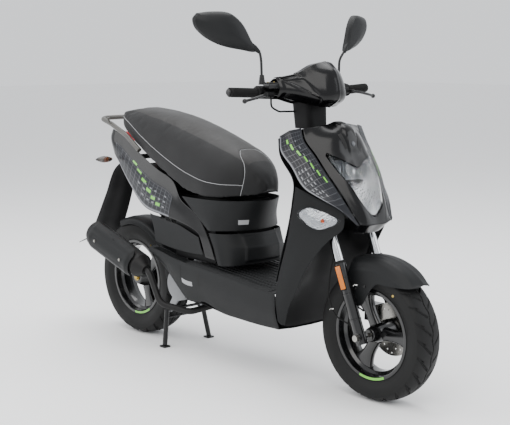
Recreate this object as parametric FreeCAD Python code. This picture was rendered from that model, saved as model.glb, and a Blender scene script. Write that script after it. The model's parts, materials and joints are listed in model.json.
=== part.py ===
import FreeCAD, Part
import math
import os

from FreeCAD import Vector

# Moped scooter, 12 inch wheels, drum rear brake and disc front brake.
# Millimetres. +X is the rider's left, -Y is the front, +Z is up. The origin is on the
# ground, under the middle of the machine.

# ---------------------------------------------------------------- driving dimensions
wheelbase = 1330.0
front_axle_y = -740.0
rear_axle_y = front_axle_y + wheelbase
bar_half_width = 345.0

front_tyre_radius = 236.5
front_tyre_width = 118.0
rear_tyre_radius = 243.5
rear_tyre_width = 128.0
tyre_wall = 9.0
bead_radius = 152.0
rim_flange_height = 9.0
rim_wall = 4.5
front_rim_width = 98.0
rear_rim_width = 104.0
spoke_count = 3
spoke_thickness = 26.0

rake_deg = 22.0
fork_offset = 35.0
fork_tube_radius = 15.0
fork_leg_wall = 5.0
fork_side_gap = 22.0
fork_leg_top = 264.0
fork_leg_foot = 26.0
yoke_station = 438.0
head_tube_low = 480.0
head_tube_high = 690.0
stem_radius = 17.0
stem_top = 868.0
axle_radius = 6.0
running_gap = 0.05
seam_gap = 3.0

disc_radius = 95.0
disc_thickness = 4.0
disc_plane_x = 70.0
disc_hole_count = 24

panel_wall = 2.4
bar_radius = 11.0
grip_radius = 17.0
grip_length = 118.0

engine_pivot_ahead = 445.0
engine_pivot_height = 222.0
engine_pivot_radius = 8.0
rear_axle_radius = 8.5

crank_back = -345.0
crank_height = 270.0
belt_case_x = 72.0
belt_case_depth = 46.0
shock_x = 97.0
shock_top_back = -30.0
shock_top_height = 640.0
shock_foot_back = 28.0
shock_foot_height = 318.0
shock_eye_radius = 15.0

frame_tube_radius = 13.0
rail_tube_radius = 10.0
seat_lip = 14.0
dial_radius = 41.0
mirror_turn_in_deg = 25.0

muffler_radius = 50.0
muffler_length = 330.0
muffler_rise_deg = 18.0
muffler_x = -182.0

stand_tube_radius = 10.0
stand_pin_radius = 6.0
stand_height = 150.0
stand_ahead = 262.0
stand_half_span = 78.0
stand_foot_span = 118.0

# ---------------------------------------------------------------- derived places
front_axle = Vector(0, front_axle_y, front_tyre_radius)
rear_axle = Vector(0, rear_axle_y, rear_tyre_radius)
rake = math.radians(rake_deg)
steer_dir = Vector(0, math.sin(rake), math.cos(rake))
steer_ahead = Vector(0, -math.cos(rake), math.sin(rake))
fork_leg_radius = fork_tube_radius + fork_leg_wall
fork_spacing = front_tyre_width / 2 + fork_side_gap + fork_leg_radius - 3.0
front_hub_half = disc_plane_x - disc_thickness / 2 - 0.1
X = Vector(1, 0, 0)
Y = Vector(0, 1, 0)
Z = Vector(0, 0, 1)


def front(x, y, z):
    """Point of the front bodywork, y measured back from the front axle."""
    return Vector(x, front_axle_y + y, z)


def rear(x, y, z):
    """Point of the rear bodywork, y measured back from the rear axle."""
    return Vector(x, rear_axle_y + y, z)


def fork(x, s, ahead=0.0):
    """Point on the fork: s up along the legs from the axle, ahead of the leg line."""
    return front_axle + steer_dir * s + steer_ahead * ahead + X * x


def stem(x, s, ahead=0.0):
    """Point on the steering axis, s counted like the fork's."""
    return fork(x, s, ahead - fork_offset)


# ---------------------------------------------------------------- shape helpers
def mirrored(shape):
    return shape.mirror(Vector(0, 0, 0), X)


def pair(shape):
    return Part.Compound([shape, mirrored(shape)])


def triangles(a, b, c, d):
    """Two flat facets for the four corners of one patch; a patch may close to a point."""
    faces = []
    for corners in ((a, b, c), (a, c, d)):
        flat = (corners[1] - corners[0]).cross(corners[2] - corners[0]).Length
        if flat > 1e-3:
            faces.append(Part.Face(Part.makePolygon(list(corners) + [corners[0]])))
    return faces


def solid_from(faces):
    shell = Part.Shell(faces)
    shell.sewShape()
    solid = Part.Solid(shell)
    if solid.Volume < 0:
        solid.reverse()
    return solid


def grid_normal(rows, i, j):
    up = rows[min(i + 1, len(rows) - 1)][j] - rows[max(i - 1, 0)][j]
    along = rows[i][min(j + 1, len(rows[i]) - 1)] - rows[i][max(j - 1, 0)]
    normal = up.cross(along)
    return normal.normalize()


def panel(rows, wall=panel_wall):
    """Moulded panel: a grid of points, thickened by the wall against the grid's normal."""
    inner = []
    for i, row in enumerate(rows):
        inner.append([point - grid_normal(rows, i, j) * wall for j, point in enumerate(row)])
    last_i = len(rows) - 1
    last_j = len(rows[0]) - 1
    faces = []
    for i in range(last_i):
        for j in range(last_j):
            faces += triangles(rows[i][j], rows[i + 1][j], rows[i + 1][j + 1], rows[i][j + 1])
            faces += triangles(inner[i][j], inner[i][j + 1], inner[i + 1][j + 1], inner[i + 1][j])
        faces += triangles(rows[i][0], inner[i][0], inner[i + 1][0], rows[i + 1][0])
        faces += triangles(rows[i][last_j], rows[i + 1][last_j], inner[i + 1][last_j],
                           inner[i][last_j])
    for j in range(last_j):
        faces += triangles(rows[0][j], rows[0][j + 1], inner[0][j + 1], inner[0][j])
        faces += triangles(rows[last_i][j], inner[last_i][j], inner[last_i][j + 1],
                           rows[last_i][j + 1])
    return solid_from(faces)


def hull_of(loops):
    """Closed body through equal closed loops, flat-capped by fans at both ends."""
    faces = []
    count = len(loops[0])
    for low, high in zip(loops, loops[1:]):
        for j in range(count):
            k = (j + 1) % count
            faces += triangles(low[j], low[k], high[k], high[j])
    for loop in (loops[0], loops[-1]):
        centre = Vector(0, 0, 0)
        for point in loop:
            centre = centre + point
        centre = centre * (1.0 / count)
        for j in range(count):
            k = (j + 1) % count
            faces += triangles(centre, loop[j], loop[k], loop[k])
    return solid_from(faces)


def both_sides(half):
    """Row across the machine: the left half from its edge to the centre, then the right."""
    right = [Vector(-p.x, p.y, p.z) for p in reversed(half) if abs(p.x) > 1e-6]
    return list(half) + right


def width_rows(rows):
    return [both_sides(row) for row in rows]


def rod(start, end, radius):
    return Part.makeCylinder(radius, (end - start).Length, start, end - start)


def ring(start, end, outer, inner):
    over = (end - start).normalize() * 1.0
    return rod(start, end, outer).cut(rod(start - over, end + over, inner))


def tube_run(points, radius):
    """Welded tube run: straight lengths with round joints."""
    shape = rod(points[0], points[1], radius)
    for corner, end in zip(points[1:], points[2:]):
        shape = shape.fuse(Part.makeSphere(radius, corner))
        shape = shape.fuse(rod(corner, end, radius))
    return shape


def bent_path(points, bend):
    """Wire of straight runs joined by tangent arcs as large as the runs allow."""
    edges = []
    start = points[0]
    for before, corner, after in zip(points, points[1:], points[2:]):
        back = before - corner
        on = after - corner
        shorter = min(back.Length, on.Length)
        back.normalize()
        on.normalize()
        half_turn = (math.pi - back.getAngle(on)) / 2
        reach = min(0.45 * shorter, bend * math.tan(half_turn))
        radius = reach / math.tan(half_turn)
        first = corner + back * reach
        last = corner + on * reach
        to_centre = (back + on).normalize()
        centre = corner + to_centre * (radius / math.cos(half_turn))
        middle = centre - to_centre * radius
        edges.append(Part.LineSegment(start, first).toShape())
        edges.append(Part.Arc(first, middle, last).toShape())
        start = last
    edges.append(Part.LineSegment(start, points[-1]).toShape())
    return Part.Wire(edges)


def bent_tube(points, radius, bend):
    path = bent_path(points, bend)
    section = Part.Wire([Part.makeCircle(radius, points[0], points[1] - points[0])])
    return path.makePipeShell([section], True, False)


def turned(profile, centre):
    """Body of revolution about the wheel line: profile of (x, radius) corners."""
    points = [Vector(x, 0, radius) for x, radius in profile]
    face = Part.Face(Part.makePolygon(points + [points[0]]))
    body = face.revolve(Vector(0, 0, 0), X, 360)
    body.translate(centre)
    return body


def plate(outline, thickness):
    """Flat plate from an outline of points, thickened along +X."""
    return Part.Face(Part.makePolygon(list(outline) + [outline[0]])).extrude(X * thickness)


# ---------------------------------------------------------------- wheels
def tyre(radius, width, rim_width, centre):
    half = width / 2
    seat = rim_width / 2 - rim_wall - 0.3
    crown = radius - 26.0
    outside = [(-seat, bead_radius + 0.3), (-seat, bead_radius + rim_flange_height + 0.5)]
    outside.append((-half, (crown + bead_radius + rim_flange_height) / 2 + 4.0))
    for step in range(-4, 5):
        angle = math.radians(step * 20.0)
        outside.append((half * math.sin(angle), crown + 26.0 * math.cos(angle)))
    outside.append((half, (crown + bead_radius + rim_flange_height) / 2 + 4.0))
    outside += [(seat, bead_radius + rim_flange_height + 0.5), (seat, bead_radius + 0.3)]
    inner_half = half - tyre_wall
    inside = [(seat - 10.0, bead_radius + 0.3), (inner_half, crown - 12.0)]
    inside += [(inner_half * 0.7, crown + 8.0), (0, radius - tyre_wall - 2.0)]
    inside += [(-inner_half * 0.7, crown + 8.0), (-inner_half, crown - 12.0)]
    inside.append((-seat + 10.0, bead_radius + 0.3))
    return turned(outside + inside, centre)


def spoke(inner_radius, outer_radius, centre, angle_deg):
    """Fat cast spoke that flares out to the rim."""
    half = spoke_thickness / 2
    narrow = 24.0
    wide = 44.0
    outline = [Vector(-half, -narrow, inner_radius), Vector(-half, narrow, inner_radius)]
    outline += [Vector(-half, narrow * 0.95, outer_radius * 0.55), Vector(-half, wide, outer_radius)]
    outline += [Vector(-half, -wide, outer_radius), Vector(-half, -narrow * 0.95, outer_radius * 0.55)]
    body = plate(outline, spoke_thickness)
    body.rotate(Vector(0, 0, 0), X, angle_deg)
    body.translate(centre)
    return body


def rim(rim_width, centre, hub, bore, first_spoke_deg):
    """Cast wheel: rim barrel, three spokes and hub; hub holds (x, radius) corners."""
    half = rim_width / 2
    lip = bead_radius + rim_flange_height
    top = [(-half, lip), (-half + rim_wall, lip), (-half + rim_wall, bead_radius)]
    top += [(-half + 22, bead_radius - 2), (-half + 30, bead_radius - 14)]
    top += [(half - 30, bead_radius - 14), (half - 22, bead_radius - 2)]
    top += [(half - rim_wall, bead_radius), (half - rim_wall, lip), (half, lip)]
    under = [(half, bead_radius - rim_wall), (half - 24, bead_radius - 8)]
    under += [(half - 32, bead_radius - 20), (-half + 32, bead_radius - 20)]
    under += [(-half + 24, bead_radius - 8), (-half, bead_radius - rim_wall)]
    barrel = turned(top + under, centre)
    core = turned([(hub[0][0], bore)] + hub + [(hub[-1][0], bore)], centre)
    shape = barrel.fuse(core)
    for number in range(spoke_count):
        angle = first_spoke_deg + number * 360.0 / spoke_count
        shape = shape.fuse(spoke(hub[1][1] - 4, bead_radius - 17, centre, angle))
    return shape


def front_rim():
    hub = [(-54, 24), (-20, 32), (30, 32), (46, 40), (front_hub_half, 40)]
    return rim(front_rim_width, front_axle, hub, axle_radius + running_gap, 0.0)


def brake_disc():
    inner = 26.0
    near = disc_plane_x - disc_thickness / 2
    far = disc_plane_x + disc_thickness / 2
    disc = turned([(near, inner), (near, disc_radius), (far, disc_radius), (far, inner)], front_axle)
    for number in range(disc_hole_count):
        angle = 2 * math.pi * number / disc_hole_count
        reach = disc_radius - 10 - 8 * (number % 3)
        at = front_axle + Vector(disc_plane_x - 5, reach * math.cos(angle), reach * math.sin(angle))
        disc = disc.cut(rod(at, at + X * 10, 3.0))
    return disc


def rear_rim():
    hub = [(-48, 30), (-10, 46), (10, 62), (50, 62)]
    return rim(rear_rim_width, rear_axle, hub, rear_axle_radius, 45.0)


def rear_axle_shaft():
    return rod(rear_axle + X * -56, rear_axle + X * 84, rear_axle_radius - 0.01)


# ---------------------------------------------------------------- fork and steering
def fork_legs():
    leg = rod(fork(fork_spacing, -fork_leg_foot), fork(fork_spacing, fork_leg_top), fork_leg_radius)
    foot = rod(front_axle + X * (fork_spacing - 18), front_axle + X * (fork_spacing + 20), 18.0)
    bore = rod(fork(fork_spacing, 44), fork(fork_spacing, fork_leg_top + 1), fork_tube_radius + running_gap)
    axle_hole = rod(front_axle, front_axle + X * (fork_spacing + 40), axle_radius)
    return pair(leg.fuse(foot).cut(bore).cut(axle_hole))


def front_axle_bolt():
    reach = fork_spacing + 20
    shaft = rod(front_axle - X * (reach + 1), front_axle + X * (reach + 1), axle_radius - 0.01)
    head = rod(front_axle - X * (reach + 9), front_axle - X * (reach + 0.1), 11.0)
    nut = rod(front_axle + X * (reach + 0.1), front_axle + X * (reach + 9), 11.0)
    return shaft.fuse(head).fuse(nut)


def fork_tubes():
    return pair(rod(fork(fork_spacing, 120), fork(fork_spacing, yoke_station + 26), fork_tube_radius))


def steering_stem():
    """Steering stem with the lower yoke that clamps the fork tubes."""
    bridge = hull_of([
        [fork(x, yoke_station - 14, 24), fork(x, yoke_station + 14, 24),
         fork(x, yoke_station + 14, -52), fork(x, yoke_station - 14, -52)]
        for x in (-fork_spacing, fork_spacing)])
    shape = bridge
    for side in (-1, 1):
        clamp = rod(fork(side * fork_spacing, yoke_station - 22),
                    fork(side * fork_spacing, yoke_station + 22), fork_tube_radius + 8)
        shape = shape.fuse(clamp)
    shape = shape.fuse(rod(stem(0, yoke_station), stem(0, stem_top), stem_radius))
    for side in (-1, 1):
        shape = shape.cut(rod(fork(side * fork_spacing, yoke_station - 60),
                              fork(side * fork_spacing, yoke_station + 60), fork_tube_radius))
    return shape


def bar_route():
    top = stem(0, stem_top + bar_radius)
    end = bar_half_width - 6
    half = [Vector(70, top.y, top.z), Vector(130, top.y + 14, top.z + 20),
            Vector(end, top.y + 32, top.z + 29)]
    mirror_half = [Vector(-p.x, p.y, p.z) for p in reversed(half)]
    return mirror_half + half


def handlebar():
    return bent_tube(bar_route(), bar_radius, 90.0)


def grip_line():
    """Inner end and direction of the left grip, along the bar's last run."""
    inner, outer = bar_route()[-2:]
    along = (outer - inner).normalize()
    return outer - along * (grip_length - 6), along


def grip():
    start, along = grip_line()
    body = rod(start, start + along * grip_length, grip_radius)
    flange = rod(start, start + along * 6, grip_radius + 6)
    bore = rod(start - along, start + along * (grip_length - 5), bar_radius + running_gap)
    return body.fuse(flange).cut(bore)


def control_pod():
    """Switch housing and lever perch beside the grip, left side."""
    start, along = grip_line()
    inner = start - along * 62
    outer = start - along * 3
    body = rod(inner, outer, 23.0)
    perch = rod(inner + Vector(6, -18, -4), outer + Vector(-8, -20, -4), 13.0)
    bore = rod(inner - along * 2, outer + along * 2, bar_radius + 0.01)
    return body.fuse(perch).cut(bore)


def lever_pivot():
    start, along = grip_line()
    return start + along * -8 + Vector(0, -42, -6)


def brake_lever():
    """Left lever blade from its pivot outwards, ending in a ball."""
    pivot = lever_pivot()
    blade = [pivot, pivot + Vector(30, -12, -4), pivot + Vector(70, -16, -12)]
    tip = pivot + Vector(108, -8, -20)
    shape = bent_tube(blade + [tip], 5.0, 60.0)
    shape = shape.fuse(rod(pivot - Z * 7, pivot + Z * 7, 8.0))
    return shape.fuse(Part.makeSphere(8.5, tip))


def mirror_foot():
    return front(196, 389, 1094)


def mirror_joint():
    """Where the stalk's tip holds the head's neck."""
    return front(223, 383, 1207)


def mirror_stalk():
    foot = mirror_foot()
    joint = mirror_joint()
    route = [foot, foot + Vector(3, 0, 78), joint + Vector(-10, -2, -8), joint]
    boot = Part.makeCone(12, 8, 34, foot - Z * 6, Z)
    return bent_tube(route, 4.6, 60.0).fuse(boot)


def mirror_head():
    """Teardrop housing from the glass forward, turned in towards the rider."""
    turn = math.radians(mirror_turn_in_deg)
    out = Vector(math.cos(turn), math.sin(turn), 0)
    ahead = Vector(math.sin(turn), -math.cos(turn), 0)
    outline = [(4, -9), (24, 33), (58, 90), (95, 119), (165, 126), (216, 120), (230, 102), (226, 78),
               (200, 48), (158, 22), (60, -4)]
    centre = (140, 76)
    loops = []
    for depth, shrink in ((-14, 0.97), (0, 1.0), (16, 0.84), (30, 0.46)):
        loop = []
        for reach, rise in outline:
            reach = centre[0] + (reach - centre[0]) * shrink
            rise = centre[1] + (rise - centre[1]) * shrink
            loop.append(mirror_joint() + out * reach + ahead * depth + Z * (rise + 6))
        loops.append(loop)
    return hull_of(loops)


def cover_row(x, *slice_points):
    """One fore-and-aft slice of the handlebar cover: back edge, crown, nose, chin, underside."""
    return [front(x, y, z) for y, z in slice_points]


def handlebar_cover_front():
    """Gloss cover: high crown in the middle, lower wings out to the switch housings."""
    half = [
        cover_row(160, (368, 1112), (360, 1114), (344, 1096), (338, 1066), (350, 1046)),
        cover_row(125, (346, 1120), (334, 1122), (312, 1100), (300, 1060), (326, 1034)),
        cover_row(85, (332, 1131), (314, 1133), (284, 1106), (262, 1050), (296, 1020)),
        cover_row(45, (304, 1158), (280, 1161), (238, 1124), (216, 1040), (256, 1010)),
        cover_row(0, (300, 1163), (272, 1168), (222, 1132), (204, 1040), (250, 1008)),
    ]
    rows = half + [[Vector(-p.x, p.y, p.z) for p in row] for row in half[-2::-1]]
    return panel(rows)


def handlebar_cover_rear():
    """Rider-side cover: dash surround, with the box sleeve round the column below it."""
    half = [
        [front(158, 380, 1036), front(158, 402, 1060), front(158, 400, 1090), front(158, 374, 1108)],
        [front(125, 382, 1034), front(125, 403, 1060), front(125, 400, 1094), front(125, 354, 1113)],
        [front(85, 384, 1024), front(85, 404, 1060), front(85, 398, 1100), front(85, 340, 1123)],
        [front(45, 386, 1016), front(45, 404, 1060), front(45, 394, 1108), front(45, 312, 1152)],
        [front(0, 388, 1014), front(0, 404, 1060), front(0, 392, 1112), front(0, 308, 1158)],
    ]
    rows = half + [[Vector(-p.x, p.y, p.z) for p in row] for row in half[-2::-1]]
    face, out = dial_place()
    opening = rod(face - out * 40, face + out * 20, dial_radius + 1.0)
    return panel(rows).cut(opening).fuse(column_sleeve())


def dial_place():
    """Centre of the dial's face and the way it looks, up at the rider."""
    return front(0, 351, 1139), Vector(0, 0.487, 0.873)


def column_sleeve():
    """Box sleeve round the steering column between the cover and the fairing."""
    def loop(half_x, near_y, far_y, z):
        return [front(half_x, near_y, z), front(half_x, far_y, z),
                front(-half_x, far_y, z), front(-half_x, near_y, z)]
    outer = hull_of([loop(46, 296, 384, 930), loop(52, 304, 392, 1023)])
    inner = hull_of([loop(43, 299, 381, 929), loop(49, 307, 389, 1024)])
    return outer.cut(inner)


def speedometer():
    face, out = dial_place()
    return rod(face - out * 30, face, dial_radius)


# ---------------------------------------------------------------- front bodywork
def mask_rows():
    """Front mask from crown to beak: edge, cheek and centre of each row."""
    return width_rows([
        [front(140, 240, 938), front(62, 215, 950), front(0, 212, 960)],
        [front(142, 228, 905), front(70, 175, 918), front(0, 160, 940)],
        [front(134, 180, 850), front(66, 132, 850), front(0, 128, 850)],
        [front(124, 135, 790), front(70, 92, 790), front(0, 104, 795)],
        [front(108, 92, 730), front(64, 60, 730), front(0, 66, 735)],
        [front(92, 55, 670), front(54, 30, 668), front(0, 36, 668)],
        [front(78, 24, 620), front(40, 14, 615), front(0, 16, 615)],
        [front(70, 60, 588), front(38, 48, 584), front(0, 48, 582)],
    ])


def lamp_outline(grow):
    """Shield-shaped headlight outline seen from the front, grown by a gap."""
    half = [(0, 803), (100, 855), (107, 845), (95, 793), (76, 752), (60, 712), (40, 673), (0, 643)]
    middle = 740.0
    scale = 1.0 + grow / 90.0
    right = [(-x, z) for x, z in reversed(half) if x > 0]
    loop = [(x * scale, middle + (z - middle) * scale) for x, z in half + right]
    return [Vector(x, front_axle_y - 60, z) for x, z in loop]


def lamp_prism(grow):
    loop = lamp_outline(grow)
    return Part.Face(Part.makePolygon(loop + [loop[0]])).extrude(Y * 300)


def front_fairing():
    """Gloss mask with the headlight opening cut through it."""
    return panel(mask_rows()).cut(lamp_prism(seam_gap))


def headlight_lens():
    return panel(mask_rows(), panel_wall + 0.6).common(lamp_prism(0.0))


def wing():
    return panel([
        [front(213, 280, 915), front(185, 262, 934), front(145, 244, 941)],
        [front(215, 277, 870), front(186, 240, 890), front(147, 232, 904)],
        [front(208, 227, 809), front(175, 195, 835), front(139, 184, 848)],
        [front(200, 180, 745), front(165, 150, 775), front(129, 138, 788)],
        [front(170, 125, 708), front(140, 105, 718), front(113, 95, 728)],
        [front(130, 72, 672), front(112, 62, 666), front(97, 57, 668)],
        [front(96, 32, 628), front(90, 28, 620), front(83, 25, 619)],
    ])


def front_indicator():
    return panel([
        [front(203, 200, 640), front(203, 203, 660)],
        [front(196, 165, 616), front(188, 168, 676)],
        [front(170, 130, 600), front(160, 140, 668)],
        [front(140, 100, 612), front(138, 104, 650)],
        [front(117, 80, 622), front(116, 78, 632)],
    ], 3.0)


def leg_shield():
    """Outer leg shield: outer edge, middle and wheel-well edge of each row, top to bottom."""
    return panel([
        [front(204, 212, 745), front(150, 142, 700), front(100, 80, 668)],
        [front(207, 218, 690), front(160, 156, 650), front(104, 74, 625)],
        [front(206, 232, 625), front(168, 164, 600), front(112, 78, 598)],
        [front(204, 251, 554), front(178, 184, 555), front(140, 120, 556)],
        [front(202, 270, 499), front(186, 215, 493), front(160, 170, 491)],
        [front(201, 290, 442), front(190, 245, 438), front(168, 206, 433)],
        [front(200, 308, 380), front(190, 275, 370), front(170, 240, 367)],
        [front(196, 318, 330), front(184, 300, 312), front(168, 274, 314)],
        [front(182, 320, 250), front(172, 314, 236), front(160, 306, 232)],
    ])


def wheel_well_liner():
    return panel(width_rows([
        [front(140, 152, 560), front(110, 238, 560), front(70, 242, 560), front(0, 242, 560)],
        [front(152, 192, 490), front(115, 222, 490), front(70, 234, 490), front(0, 234, 490)],
        [front(160, 224, 430), front(115, 236, 430), front(70, 247, 430), front(0, 247, 430)],
        [front(162, 258, 367), front(115, 270, 367), front(70, 276, 367), front(0, 276, 367)],
        [front(160, 292, 310), front(115, 296, 310), front(70, 298, 310), front(0, 298, 310)],
        [front(152, 314, 226), front(115, 314, 222), front(70, 314, 220), front(0, 314, 220)],
    ]))


def inner_shield():
    """Rider-side leg shield, bulged over the steering head."""
    return panel(width_rows([
        [front(210, 292, 905), front(130, 352, 905), front(60, 404, 905), front(0, 410, 905)],
        [front(211, 284, 850), front(140, 318, 850), front(70, 374, 850), front(0, 386, 850)],
        [front(206, 222, 760), front(140, 274, 760), front(70, 328, 760), front(0, 338, 760)],
        [front(206, 228, 690), front(140, 264, 690), front(70, 298, 690), front(0, 306, 690)],
        [front(204, 250, 600), front(140, 268, 600), front(70, 286, 600), front(0, 290, 600)],
        [front(201, 284, 500), front(140, 294, 500), front(70, 303, 500), front(0, 305, 500)],
        [front(198, 316, 396), front(140, 330, 396), front(70, 340, 396), front(0, 342, 396)],
    ])[::-1])


# ---------------------------------------------------------------- floor and skirts
def skirt():
    """Side skirt with the tread ledge along its top: low edge, side, top edge, ledge."""
    stations = [
        (front(0, 328, 0).y, 214, 280, 350),
        (front(0, 440, 0).y, 213, 290, 354),
        (front(0, 540, 0).y, 216, 300, 366),
        (rear(0, -690, 0).y, 222, 310, 375),
        (rear(0, -590, 0).y, 247, 325, 384),
        (rear(0, -485, 0).y, 240, 330, 393),
        (rear(0, -417, 0).y, 290, 360, 402),
        (rear(0, -350, 0).y, 345, 390, 416),
        (rear(0, -270, 0).y, 392, 410, 426),
    ]
    rows = []
    for y, low, side, top in stations:
        rows.append([Vector(152, y, top + 2), Vector(190, y, top), Vector(188, y, side),
                     Vector(167, y, low)])
    return panel(rows)


def floorboard():
    levels = [
        (front(0, 350, 0).y, 352), (front(0, 440, 0).y, 356), (front(0, 540, 0).y, 368),
        (rear(0, -690, 0).y, 377), (rear(0, -590, 0).y, 386), (rear(0, -490, 0).y, 394),
    ]
    rows = [both_sides([Vector(147, y, z), Vector(80, y, z), Vector(0, y, z)]) for y, z in levels]
    return panel(rows, 3.0)


def belly_pan():
    levels = [(front(0, 330, 0).y, 214), (front(0, 540, 0).y, 214), (rear(0, -690, 0).y, 220),
              (rear(0, -545, 0).y, 238)]
    rows = [both_sides([Vector(162, y, z), Vector(90, y, z - 6), Vector(0, y, z - 8)]) for y, z in levels]
    return panel(rows[::-1])


# ---------------------------------------------------------------- seat area and tail
def seat_box():
    """Shell under the seat, wrapped round the front of the storage bucket."""
    return panel(width_rows([
        [rear(162, -448, 645), rear(163, -590, 645), rear(148, -664, 645), rear(98, -722, 645),
         rear(0, -768, 645)],
        [rear(165, -526, 590), rear(164, -600, 590), rear(150, -652, 590), rear(98, -708, 590),
         rear(0, -746, 590)],
        [rear(169, -612, 530), rear(168, -636, 530), rear(150, -664, 530), rear(96, -703, 530),
         rear(0, -726, 530)],
    ]))


def service_cover():
    """Faceted cover over the battery and spark plug, in front of the seat box."""
    return panel(width_rows([
        [rear(169, -616, 520), rear(166, -642, 520), rear(150, -676, 520), rear(90, -712, 520),
         rear(0, -732, 520)],
        [rear(170, -644, 470), rear(167, -668, 470), rear(148, -696, 470), rear(88, -738, 470),
         rear(0, -752, 470)],
        [rear(171, -672, 402), rear(169, -692, 402), rear(152, -714, 402), rear(92, -738, 402),
         rear(0, -746, 402)],
    ]))


def side_panel():
    return panel([
        [rear(168, -555, 496), rear(170, -570, 462), rear(171, -586, 432)],
        [rear(167, -520, 505), rear(169, -530, 470), rear(171, -545, 430)],
        [rear(163, -425, 530), rear(167, -440, 480), rear(170, -455, 430)],
        [rear(157, -320, 540), rear(164, -340, 490), rear(168, -365, 436)],
        [rear(148, -225, 554), rear(158, -262, 500), rear(164, -280, 446)],
    ])


def tail_panel():
    """Gloss tail side: upper edge, flank, lower edge; ends as the strip in front of the side panel."""
    return panel([
        [rear(171, -655, 420), rear(171, -628, 422), rear(171, -600, 424)],
        [rear(170, -615, 498), rear(170, -590, 500), rear(170, -563, 502)],
        [rear(167, -575, 552), rear(168, -560, 530), rear(169, -548, 514)],
        [rear(158, -435, 632), rear(163, -430, 595), rear(165, -425, 545)],
        [rear(144, -374, 694), rear(156, -350, 640), rear(158, -320, 556)],
        [rear(138, -266, 734), rear(151, -240, 670), rear(146, -190, 574)],
        [rear(122, -134, 786), rear(138, -110, 735), rear(128, -66, 654)],
        [rear(104, 16, 856), rear(120, 14, 800), rear(112, 30, 738)],
        [rear(94, 94, 876), rear(104, 96, 840), rear(100, 84, 786)],
        [rear(60, 130, 870), rear(64, 132, 850), rear(64, 124, 815)],
    ])


def tail_light():
    return hull_of([
        [rear(56, 128, 862), rear(-56, 128, 862), rear(-56, 122, 822), rear(56, 122, 822)],
        [rear(56, 60, 856), rear(-56, 60, 856), rear(-56, 60, 828), rear(56, 60, 828)],
    ])


def helmet_bucket():
    """Open-topped storage bucket under the seat."""
    wall = 3.0
    low = 500.0
    high = 640.0
    outer = Part.makeBox(172, 440, high - low, rear(-86, -690, low))
    inner = Part.makeBox(172 - 2 * wall, 440 - 2 * wall, high - low,
                         rear(-86 + wall, -690 + wall, low + wall))
    return outer.cut(inner)


def fuel_tank():
    body = Part.makeBox(150, 180, 130, rear(-75, -210, 605))
    body = body.makeFillet(18, body.Edges)
    neck = Part.makeCylinder(26, 22, rear(0, -130, 733), Z)
    return body.fuse(neck)


def seat_sections():
    """Across the seat at each station: y, lower edge z, seam z, crown z, half widths there."""
    return [
        (-790, 678, 698, 716, 26, 30, 20),
        (-774, 670, 702, 750, 44, 50, 34),
        (-742, 663, 706, 790, 76, 82, 56),
        (-705, 658, 706, 818, 108, 114, 80),
        (-670, 655, 707, 838, 134, 140, 92),
        (-600, 652, 712, 864, 156, 162, 102),
        (-480, 666, 736, 904, 158, 164, 108),
        (-330, 722, 788, 944, 148, 158, 112),
        (-180, 790, 852, 968, 132, 146, 110),
        (-50, 856, 912, 976, 114, 124, 96),
        (24, 888, 932, 970, 88, 96, 76),
        (58, 902, 932, 956, 56, 62, 48),
    ]


def seat_cushion():
    loops = []
    for y, low, seam, crown, w_low, w_seam, w_top in seat_sections():
        half = [(w_low, low), (w_seam, seam), ((w_seam + w_top) / 2 + 8, (seam + crown) / 2 + 14),
                (w_top * 0.8, crown - 8), (0, crown)]
        left = [(-x, z) for x, z in reversed(half) if x > 0]
        under = [(-w_low + 9, low + seat_lip), (w_low - 9, low + seat_lip)]
        loops.append([rear(x, y, z) for x, z in half + left + under])
    return hull_of(loops)


def seat_base():
    """Seat pan inside the cushion's lower lip."""
    loops = []
    for y, low, seam, crown, w_low, w_seam, w_top in seat_sections()[2:-1]:
        edge = w_low - 13
        loops.append([rear(edge, y, low + seat_lip - 2), rear(-edge, y, low + seat_lip - 2),
                      rear(-edge, y, low + seat_lip - 7), rear(edge, y, low + seat_lip - 7)])
    return hull_of(loops)


def grab_rail():
    half = [rear(140, -150, 803), rear(139, -60, 860), rear(126, 60, 900), rear(92, 186, 918)]
    route = half + [Vector(-p.x, p.y, p.z) for p in reversed(half)]
    return bent_tube(route, rail_tube_radius, 60.0)


def rear_indicator():
    pod = hull_of([
        [rear(132, 70, 758), rear(132, 84, 752), rear(132, 70, 744), rear(132, 62, 751)],
        [rear(156, 66, 766), rear(156, 96, 752), rear(156, 68, 736), rear(156, 58, 751)],
        [rear(186, 80, 756), rear(186, 98, 751), rear(186, 82, 744), rear(186, 76, 750)],
    ])
    stalk = rod(rear(120, 72, 751), rear(134, 72, 751), 6.0)
    return pod.fuse(stalk)


def plate_holder():
    """Rear mudguard and number-plate carrier."""
    half_rows = [
        [rear(50, 70, 735), rear(30, 80, 742), rear(0, 82, 744)],
        [rear(55, 125, 712), rear(34, 140, 718), rear(0, 142, 720)],
        [rear(72, 190, 582), rear(44, 206, 586), rear(0, 208, 588)],
        [rear(80, 247, 474), rear(48, 262, 478), rear(0, 264, 480)],
        [rear(85, 300, 388), rear(50, 312, 396), rear(0, 314, 398)],
        [rear(88, 380, 352), rear(52, 386, 360), rear(0, 386, 362)],
    ]
    return panel(width_rows(half_rows), 3.0)


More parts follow.
